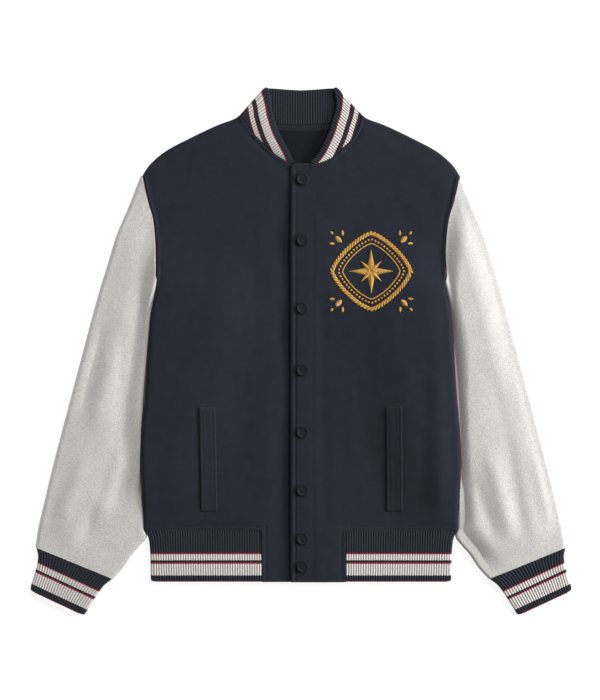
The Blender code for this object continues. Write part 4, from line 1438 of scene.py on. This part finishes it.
@dataclass
class CuffRib:
    """A cuff: a tube of rib pressed flat."""

    side: Side
    finish: RibKnit = RibKnit(title="rib_knit_cuff", courses=CUFF_COURSES)
    ribs: int = 22
    bend_ribs: int = 3
    bend_steps: int = 20
    rows: int = 22
    deep: float = 64.5
    corner: float = 5.0

    def build(self) -> None:
        """Make the cuff: each row a flattened ring round a straight line across.

        The corners of the free edge are rounded: the sides draw in by 0.8 (r - sqrt(r^2 - s^2)). The stripes
        run parallel to the free edge, so the pattern takes the distance square to its line.
        """
        t = 1 - np.power(1 - np.linspace(0, 1, self.rows), 1.5)
        at = np.array([0, 0.25, 0.48, 0.76, 1.0])
        row = np.stack([eased(t, at, column) for column in CUFF.T], -1)[:, None]
        d = unit(row[..., 2:] - row[..., :2])
        inset = CUFF_ROLL + 0.8 * self.corner * fall(np.clip(1 - (1 - t) * self.deep / self.corner, 0, 1))
        a, b = row[..., :2] + inset[:, None, None] * d, row[..., 2:] - inset[:, None, None] * d
        count = self.ribs * POINTS_A_RIB + 1
        s = np.linspace(0, 1, count)[:, None]
        cos, sin = half_ring(self.bend_steps)
        out = CUFF_ROLL * cos[:, None] * d
        plain = np.concatenate([raised(mix(a, b, s), 2 * CUFF_ROLL), raised(b + out, CUFF_ROLL * (1 + sin)),
                                raised(mix(b, a, s), 0.0), raised(a - out, CUFF_ROLL * (1 - sin))], 1)
        straight = np.arange(count) / POINTS_A_RIB
        bend = np.linspace(0, self.bend_ribs, self.bend_steps + 2)[1:-1]
        turn = self.ribs + self.bend_ribs
        phase = np.concatenate([straight, self.ribs + bend, turn + straight, turn + self.ribs + bend])
        line = CUFF[-1, 2:] - CUFF[-1, :2]
        square = unit(np.array([-line[1], line[0]]))
        from_end = np.maximum((plain[..., :2] - CUFF[-1, :2]) @ square, 0.0)
        outer, normal, _ = ribbed(plain, phase, rounding(from_end, 2.6, 0.9), wrapped=True)
        uv = grid(np.append(phase, 2.0 * turn), np.concatenate([from_end, from_end[:, :1]], 1))
        name = f"cuff_{self.side.name.lower()}"
        shell = Shell(outer, plain - (RIB_WALL - 0.02) * normal, uv=uv, wrapped=True)
        made = piece(f"rib_{name}", shell.lot(self.side.value), self.finish, "rib", name)


@dataclass
class CollarRib:
    """The collar: one band of rib whose back half lies on the surface and whose ends come to the front."""

    finish: RibKnit = RibKnit(title="rib_knit_collar", courses=COLLAR_COURSES)
    front_ribs: int = 28
    back_ribs: int = 25
    fan_ribs: int = 5
    fold_ribs: int = 3
    rows: int = 26
    fan_end: float = 46.0
    seam_roll: float = 3.8
    free_roll: float = 4.0

    @staticmethod
    def pulled(t: Array) -> Array:
        """How far the fold's line is drawn in, t of the way from the seam to the free edge: 1 to 4 mm."""
        return mix(1.0, 4.0, smooth(t / 0.4))

    @staticmethod
    def away() -> Array:
        """The direction in plan that the fold faces, square to its line."""
        d = COLLAR[1][0, 2:] - COLLAR[1][0, :2]
        return unit(np.array([-d[1], d[0]]))

    def front_half(self, side: int, t: Array) -> tuple[Array, Array]:
        """Work out a front half, from its lower end up to the fold.

        Args:
            side: 1 for the wearer's left.
            t: Shares of the way from the seam to the free edge, down the rows.

        Returns:
            Points, and the free edge's line.
        """
        free, seam = COLLAR[side][:, :2], COLLAR[side][:, 2:]
        run = arc_of(seam) / arc_of(seam)[-1]
        s = np.linspace(0, 1, self.front_ribs * POINTS_A_RIB + 1)
        edge = np.stack([eased(s, run, column) for column in free.T], -1)
        up = eased(s, run, seam[:, 1])
        neck = Body.neck_line(side)
        stitch = np.stack([np.interp(up, neck[:, 1], neck[:, 0]), up], -1)
        pull = self.pulled(t)[:, None, None] * self.away() * smooth(1 - s / 0.12)[:, None]
        plan = mix(stitch, edge, t[:, None, None]) - pull
        ends = (8.6, 8.9) if side > 0 else (6.8, 7.4)
        seam_z = eased(s, [0, 0.15, 0.8, 1], [2 * self.seam_roll, 7.5, 7.5, ends[0]])
        free_z = eased(s, [0, 0.3, 0.8, 1], [2 * self.free_roll, 9.6, 9.2, ends[1]])
        bow = 1.3 * (4 * t * (1 - t))[:, None] * smooth(s / 0.2) * smooth((1 - s) / 0.12)
        return raised(plan, mix(seam_z, free_z, t[:, None]) + bow)[:, ::-1] * [side, 1, 1], edge

    def fold(self, t: Array, centre: Array) -> Array:
        """Work out the fold: a half circle that stands out little at the seam, and is rounded at its tip.

        Args:
            t: Shares of the way from the seam to the free edge, down the rows.
            centre: The fold's line, a point for each row.

        Returns:
            Points.
        """
        tip = np.clip((t - 0.86) / 0.14, 0, 1)
        bulge = self.pulled(t) * (1 - 0.85 * (1 - np.sqrt(1 - tip**2 * 0.998)))
        cos, sin = half_ring(self.fold_ribs * POINTS_A_RIB - 1)
        roll = mix(self.seam_roll, self.free_roll, t)[:, None]
        return raised(centre[:, None] + bulge[:, None, None] * cos[:, None] * self.away(), roll * (1 + sin))

    def back_half(self, t: Array, centre: Array) -> Array:
        """Work out the back half, flat: a fan to the first straight rib, then straight ribs, then a fan.

        The fold's line bows in, and the fan beside it follows.

        Args:
            t: Shares of the way from the seam to the free edge, down the rows.
            centre: The fold's line, a point for each row.

        Returns:
            Points.
        """
        fan = np.linspace(0, 1, self.fan_ribs * POINTS_A_RIB + 1)[:-1]
        mid = np.linspace(self.fan_end, -self.fan_end, self.back_ribs * POINTS_A_RIB + 1)
        low_x, top_x = (np.concatenate([side, mid, -side[::-1]]) for side in (
            mix(centre[row, 0], self.fan_end, fan) for row in (0, -1)))
        low_y = np.interp(np.abs(low_x), *BACK_NECK.T) + 0.1
        low_y[:len(fan)] = mix(centre[0, 1], low_y[:len(fan)], smooth(fan / 0.4))
        low_y[-len(fan):] = low_y[:len(fan)][::-1]
        top_y = eased(np.abs(top_x), [0, 23, 41, centre[-1, 0] + 0.2], [723.4, 724.7, 726.1, centre[-1, 1]])
        half = mix(np.stack([low_x, low_y], -1), np.stack([top_x, top_y], -1), t[:, None, None])
        bow = (centre - mix(centre[0], centre[-1], t[:, None]))[:, None] * (1 - fan)[:, None]
        half[:, :len(fan)] += bow
        half[:, -len(fan):] += bow[:, ::-1] * [-1, 1]
        return raised(half, 0.0)

    def build(self) -> None:
        """Make the collar: front half, half circle at the fold, back half, and the same mirrored.

        The distance from the free edge gives the front's stripes.
        """
        t = smooth(np.linspace(0, 1, self.rows))
        rows = t[:, None]
        centre = mix(COLLAR[1][0, 2:], COLLAR[1][0, :2], rows) - self.pulled(rows) * self.away()
        (left, left_edge), (right, right_edge) = (self.front_half(side, t) for side in (1, -1))
        fold = self.fold(t, centre)
        mirror_fold = (fold * [-1, 1, 1])[:, ::-1]
        plain = np.concatenate([left, fold, self.back_half(t, centre), mirror_fold, right[:, ::-1]], 1)
        x, y = plain[..., 0], plain[..., 1]
        deep = np.where(plain[..., 2] > 5.0, np.minimum(off_line(x, y, left_edge[::6]),
                                                        off_line(-x, y, right_edge[::6])), (1 - rows) * 50.0)
        phase = np.arange(plain.shape[1]) / POINTS_A_RIB
        drop = rounding((1 - rows) * 44, 2.4, 0.8)
        outer, normal, lying = ribbed(plain, phase, drop * (plain[..., 2] >= 0.01))
        # inside the neck the back half shows its ribs too
        inside = np.where(lying, rib_relief(phase) - drop, 0.0) * smooth((60 - np.abs(x)) / 6)
        shell = Shell(outer, plain - (RIB_WALL + inside)[..., None] * normal, uv=grid(phase, deep),
                      uv_inner=grid(phase, np.full(deep.shape, 60.0)))
        made = piece("rib_collar", shell.lot(), self.finish, "rib", "collar")


# ---------------------------------------------------------------- small pieces


def rods(spines: Array, ahead: Array, radius: Array) -> Lot:
    """Six-sided rods: a circle, radius (cos a, sin a), carried along each spine.

    Args:
        spines: The rods' points, rods by points by (across, up, high).
        ahead: Their directions.
        radius: Radius at each point of a rod.

    Returns:
        The rods, closed at their ends.
    """
    across = unit(np.cross(unit(ahead), UP))[..., None, :]
    angle = (np.arange(6) * np.pi / 3)[:, None]
    points = spines[..., None, :] + radius[:, None, None] * (np.cos(angle) * across + np.sin(angle) * UP)
    count, steps = spines.shape[:2]
    i, j = (k.ravel() for k in np.indices((steps - 1, 6)))
    near, far, after = i * 6, i * 6 + 6, (j + 1) % 6
    wall = np.stack([near + j, near + after, far + after, far + j], -1)
    end = np.array([[0, 1, 2, 3], [0, 3, 4, 5]]) + 6 * (steps - 1)
    one = np.vstack([wall, [[0, 5, 4, 3], [0, 3, 2, 1]], end])
    quads = one + (np.arange(count) * 6 * steps)[:, None, None]
    return points.reshape(-1, 3), quads.reshape(-1, 4), None


def stitched(line: Array, long: float = 2.9, gap: float = 1.2, thick: float = 0.34) -> Lot:
    """A row of stitches along a line.

    Each is a rod that dips into the cloth at its ends: its radius is the thickness times the root of
    1 - s^2, with s from -1 to 1 along it.

    Args:
        line: Points (across, up, high) on the cloth.
        long: Length of a stitch.
        gap: Space to the next one.
        thick: Half thickness of the thread.

    Returns:
        The stitches.
    """
    starts = np.arange(gap / 2, arc_of(line)[-1] - long, long + gap)
    s = np.linspace(-0.98, 0.98, 5)
    spines = along(line, (starts[:, None] + (s + 1) * long / 2).ravel()).reshape(len(starts), 5, 3)
    return rods(spines + 0.4 * thick * UP, spines[:, -1:] - spines[:, :1], thick * np.sqrt(1 - s**2))


def cord(line: Array, radius: float) -> Lot:
    """A round cord of one radius along a line of points."""
    return rods(line[None], np.gradient(line, axis=0)[None], np.full(len(line), radius))


@dataclass
class Sewing:
    """The topstitching, the fine red cord along the armholes and side seams, and the neck seam's edge."""

    body: Body
    edging: dict[Side, float] = field(default_factory=lambda: {Side.LEFT: 0.6, Side.RIGHT: 0.4})
    hem_start: dict[Side, float] = field(default_factory=lambda: {Side.LEFT: -15.0, Side.RIGHT: 17.0})
    above_cuff: float = 6.0

    def on_front(self, side: int, line: Array) -> Lot:
        """Stitches along a line in plan of a front."""
        x, y = evenly(line, 1.0).T
        return stitched(grid(x, y, self.body.surface(side, x, y)))

    def cords(self, side: Side) -> tuple[Lot, Lot, Lot]:
        """Work out the cords of one side.

        Args:
            side: The side.

        Returns:
            Those in the neck seam, along the armhole and side, and below the hem's tab.
        """
        x, y = self.body.neck_line(side.value).T
        neck = cord(grid(x, y, np.minimum(self.body.high(side.value, x, y) - 1.7, 7.0)), 0.9)
        y = np.arange(80.0, 592.0, 3.0)
        x = side_across(y)
        high = self.body.edge_high(side.value, x - 0.3, y, 0.995)
        arm = cord(grid(x + 0.1, y, high - 0.9), self.edging[side])
        x = np.arange(self.hem_start[side], TAB_ENDS[side.value] - 0.5, 2.0)
        hem = cord(grid(x, 0.0, self.body.high(side.value, x, 0 * x) - 1.0), 0.6)
        return neck, arm, hem

    def build(self, sleeves: dict[Side, Array]) -> None:
        """Make the cords, the stitches on the fronts, and those above each cuff.

        Args:
            sleeves: Outer grid of each top sleeve.
        """
        seams, edging, body, cuffs = [], [], [], []
        for side, outer in sleeves.items():
            neck, *edges = self.cords(side)
            seams.append(mirrored(neck, side.value))
            edging += [mirrored(lot, side.value) for lot in edges]
            for line in self.body.stitch_lines(side.value):
                body.append(mirrored(self.on_front(side.value, line), side.value))
            # the row above the cuff seam, from outside the crease to the outer roll
            step = float(np.linalg.norm(outer[-1, 60] - outer[-2, 60]))
            row = outer[-1 - round(self.above_cuff / step), 18:-5]
            cuffs.append(mirrored(stitched(row), side.value))
        piece("seam_neck", join(seams), MELTON_NAVY, "melton")
        piece("edging_red", join(edging), THREAD_RED, "melton")
        piece("topstitch_body", join(body), THREAD_NAVY, "melton")
        piece("topstitch_sleeves", join(cuffs), THREAD_CREAM, "fleece")


@dataclass
class Welt:
    """A pocket welt: a folded strip of melton, open along its outer edge."""

    side: Side
    body: Body
    wide: float = 24.0
    long: float = 154.0
    low: float = 103.4
    outer_edge: float = 149.2
    tilt: dict[Side, tuple[float, float]] = field(
        default_factory=lambda: {Side.RIGHT: (-2.4, 0.4), Side.LEFT: (0.0, -1.2)})

    def build(self) -> None:
        """Make the welt: a flat strip with rounded edges, its outer edge standing off the front."""
        s, t = np.linspace(0, 1, 26), np.linspace(0, 1, 80)[:, None]
        x, y = np.broadcast_arrays(self.outer_edge - self.wide * s + mix(*self.tilt[self.side], t),
                                   self.low + self.long * t)
        floor = self.body.surface(self.side.value, x, y) + mix(0.7, 0.15, smooth(s / 0.5))
        near = np.minimum(np.minimum(s, 1 - s) * self.wide, np.minimum(t, 1 - t) * self.long)
        crown = 1.5 * np.sqrt(1 - np.square(1 - np.clip(near / 1.6, 0, 1)))
        groove = 0.35 * bell((near - 4.5) / 1.0)
        shell = Shell(grid(x, y, floor + 0.3 + crown - groove), grid(x, y, floor))
        name = self.side.name.lower()
        made = piece(f"cloth_welt_{name}", shell.lot(self.side.value), MELTON_NAVY, "melton", f"welt_{name}")


@dataclass
class NeckTape:
    """The twill band over the back neck seam, on the inside."""

    wide: float = 10.2
    reach: float = 70.0

    def build(self) -> None:
        """Make the tape, which follows the neckline."""
        x, t = np.linspace(-self.reach, self.reach, 60), np.linspace(0, 1, 9)[:, None]
        y = np.interp(np.abs(x), *BACK_NECK.T) - 0.2 - t * self.wide
        crown = 0.9 * np.sqrt(1 - np.square(2 * t - 1) ** 3)
        shell = Shell(grid(x, y, MELTON + 0.2 + crown), grid(x, y, MELTON + 0.1))
        made = piece("tape_neck", shell.lot(), Twill(), "tape", "neck_tape")


class Ring(NamedTuple):
    """A ring of a snap cap's profile."""

    radius: float
    high: float


@dataclass
class Snaps:
    """The caps of the snap buttons: turned discs with a raised rim and a dished face."""

    body: Body
    sides: int = 48
    steps: int = 40
    profile: Array = field(default_factory=lambda: table(
        Ring, (0.02, 2.75), (3.5, 2.8), (5.8, 2.9), (6.5, 3.1), (7.0, 3.4), (7.5, 3.5), (8.1, 3.3),
        (8.5, 2.8), (8.65, 2.2), (8.3, 1.8), (6.6, 1.5), (6.4, 0.05)))

    def build(self) -> None:
        """Make each cap by carrying its profile round its axis."""
        t = np.linspace(0, len(self.profile) - 1, self.steps)
        r, h = (np.interp(t, np.arange(len(self.profile)), column)[:, None] for column in self.profile.T)
        angle = np.arange(self.sides) * 2 * np.pi / self.sides
        for number, up in enumerate(SNAP_UPS, 1):
            floor = float(self.body.surface(1, np.array([SNAP_X]), np.array([up]))[0]) - 0.35
            plan = grid(SNAP_X + r * np.cos(angle), up + r * np.sin(angle))
            shell = Shell(raised(plan, floor + 0.3 + h), raised(plan, floor + 0.1), wrapped=True)
            piece(f"snap_cap_{number}", shell.lot(), SnapPaint(), "snap", f"snap_{number}")


@dataclass
class Emblem:
    """Gold embroidery on the left chest: a star in a lozenge of beads and rope, leaves at its corners.

    Attributes:
        body: What it is worked on.
        centre: Its middle.
        half: Half its width and height.
        rays: Length and half width of the star's rays, in turn.
        ray_count: How many rays there are.
        rope_slant: Angle of the rope's leaves to the rope.
    """

    body: Body
    centre: tuple[float, float] = (103.0, 456.5)
    half: tuple[float, float] = (60.0, 58.5)
    rays: tuple[tuple[float, float], ...] = ((33.0, 4.6), (13.0, 1.4), (22.0, 3.2), (13.0, 1.4))
    ray_count: int = 16
    rope_slant: float = 0.62

    def satin(self, line: Array, half: Array, high: float, ridge: float = 0.5) -> Lot:
        """A strip of satin stitch along a line.

        Its height over the cloth is `high` times (1 - c^2)^ridge, with c from -1 to 1 across it.

        Args:
            line: Points in plan, from the emblem's centre.
            half: Half width at each point.
            high: Height of the strip's middle.
            ridge: 0.5 for a round strip, 1 or more for a ridged one.

        Returns:
            The strip.
        """
        ahead = unit(np.gradient(line, axis=0))
        out = np.stack([-ahead[:, 1], ahead[:, 0]], -1)
        c = np.linspace(-1, 1, 9)
        plan = line[:, None] + half[:, None, None] * c[:, None] * out[:, None] + self.centre
        base = self.body.surface(1, plan[..., 0], plan[..., 1]) + 0.02
        crown = high * np.power(1 - c**2, ridge) * np.minimum(half / 1.2, 1)[:, None]
        uv = grid(arc_of(line)[:, None], c)
        return Shell(raised(plan, base + 0.05 + crown), raised(plan, base - 0.3), uv=uv).lot()

    def lozenge(self, share: float, step: float) -> Array:
        """A border |x/a|^p + |y/b|^p = 1 with p = 1.35.

        Args:
            share: Its size, as a share of the emblem's.
            step: The distance between its points.

        Returns:
            Points in plan, from the emblem's centre.
        """
        turn = np.linspace(0, 2 * np.pi, 400)
        c, s = (np.sign(wave) * np.abs(wave) ** (2 / 1.35) for wave in (np.cos(turn), np.sin(turn)))
        return evenly(share * np.stack([self.half[0] * c, self.half[1] * s], -1), step)

    def leaf(self, at: Array, turn: float, long: float, wide: float, high: float) -> Lot:
        """A pointed leaf, ridged down its middle: its half width is w (1 - s^2)^0.7, s from -1 to 1 along it.

        Args:
            at: Its middle, from the emblem's centre.
            turn: Its direction.
            long: Its length.
            wide: Its half width w.
            high: Its height.

        Returns:
            The leaf.
        """
        s = np.linspace(-1, 1, 15)
        line = at + s[:, None] * long / 2 * heading(turn)
        return self.satin(line, wide * np.power(np.clip(1 - s**2, 0.004, 1), 0.7), high, 1.1)

    def spray(self, sx: int, sy: int) -> list[Lot]:
        """The leaves at a corner: a long and a short one in line, and one slanting off on each side.

        Args:
            sx: 1 for the corners on the wearer's left.
            sy: 1 for the upper ones.

        Returns:
            The leaves.
        """
        corner, turn = np.array([sx * self.half[0], sy * self.half[1]]), np.arctan2(sy, sx)
        return [self.leaf(0.80 * corner, turn, 13.0, 3.6, 1.4),
                self.leaf(0.965 * corner, turn, 6.0, 1.9, 1.4),
                *(self.leaf(0.84 * corner + 11.0 * heading(turn + 2.2 * tilt), turn + tilt, 8.5, 2.0, 1.2)
                  for tilt in (0.75, -0.75))]

    def build(self) -> None:
        """Make the embroidery: inner line, star, beads, rope of slanting leaves, corner sprays."""
        inner = self.lozenge(0.70, 1.0)
        parts = [self.satin(inner, np.full(len(inner), 0.9), 0.8)]
        t = np.linspace(0.02, 1, 26)
        for k in range(self.ray_count):
            long, wide = self.rays[k % len(self.rays)]
            line = long * t[:, None] * heading(k * 2 * np.pi / self.ray_count)
            parts.append(self.satin(line, wide * np.minimum(t / 0.3, (1 - t) / 0.7) + 0.1, 1.6, 1.2))
        parts += [self.leaf(bead, 0.0, 3.4, 1.7, 1.1) for bead in self.lozenge(0.80, 5.2)[:-1]]
        rope = self.lozenge(0.955, 5.0)
        ahead = np.gradient(rope, axis=0)
        turns = np.arctan2(ahead[:, 1], ahead[:, 0]) + self.rope_slant
        parts += [self.leaf(at, turn, 10.5, 2.2, 1.5) for at, turn in zip(rope[:-1], turns)]
        parts += [leaf for sx in (-1, 1) for sy in (-1, 1) for leaf in self.spray(sx, sy)]
        piece("embroidery_chest", join(parts), SatinStitch(), "melton")


# ---------------------------------------------------------------- stage


@dataclass
class Studio:
    """Floor, camera and lights."""

    floor_half: float = 9.0
    floor_low: float = -0.0004
    eye: tuple[float, float, float] = (-0.0015, 0.001, 3.009)
    lens: float = 105.0
    room_light: float = 0.16

    def build(self) -> None:
        """Make the stage: a plain floor, a camera straight above and soft light from the upper right."""
        scene = bpy.context.scene
        corners = [(x * self.floor_half, y * self.floor_half, self.floor_low)
                   for x, y in ((-1, -1), (1, -1), (1, 1), (-1, 1))]
        mesh = bpy.data.meshes.new("floor")
        mesh.from_pydata(corners, [], [(0, 1, 2, 3)])
        mesh.materials.append(Paper().material())
        floor = bpy.data.objects.new("floor", mesh)
        scene.collection.objects.link(floor)
        camera = bpy.data.objects.new("camera", bpy.data.cameras.new("camera"))
        camera.data.lens, camera.data.sensor_width = self.lens, 36.0
        camera.data.clip_start, camera.data.clip_end = 0.05, 50.0
        camera.location = self.eye
        scene.collection.objects.link(camera)
        scene.camera = camera
        self.lamp("key", (2.25, 3.25, 2.87), 1.5, 153.0)
        self.lamp("side_left", (3.9, 0.4, 1.5), 1.2, 189.0)
        self.lamp("side_right", (-1.05, 0.0, 0.24), 0.4, 1.8)
        world = bpy.data.worlds.new("room")
        world.use_nodes = True
        background = world.node_tree.nodes["Background"].inputs
        background["Color"].default_value = (1.0, 1.0, 1.0, 1.0)
        background["Strength"].default_value = self.room_light
        scene.world = world
        scene.view_settings.view_transform = "Standard"

    @staticmethod
    def lamp(name: str, place: tuple[float, float, float], size: float, watts: float) -> None:
        """Add a soft square lamp that faces the jacket.

        Args:
            name: Its name, by the wearer's side.
            place: Where it stands, in metres.
            size: Its width in metres.
            watts: Its power.
        """
        data = bpy.data.lights.new(name, "AREA")
        data.size, data.energy = size, watts
        lamp = bpy.data.objects.new(name, data)
        lamp.location = place
        lamp.rotation_euler = (-Vector(place)).to_track_quat("-Z", "Y").to_euler()
        bpy.context.scene.collection.objects.link(lamp)


def main() -> None:
    """Make the stage and the jacket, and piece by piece."""
    logging.basicConfig(level=logging.INFO, format="%(name)s: %(message)s")
    Studio().build()
    body = Body()
    body.build()
    sleeves: dict[Side, Array] = {}
    for side in Side:
        sleeves[side] = Sleeve(side, body).build()
        CuffRib(side).build()
        Welt(side, body).build()
    HemRib(body).build()
    CollarRib().build()
    NeckTape().build()
    Snaps(body).build()
    Emblem(body).build()
    Sewing(body).build(sleeves)


if __name__ == "__main__":
    main()
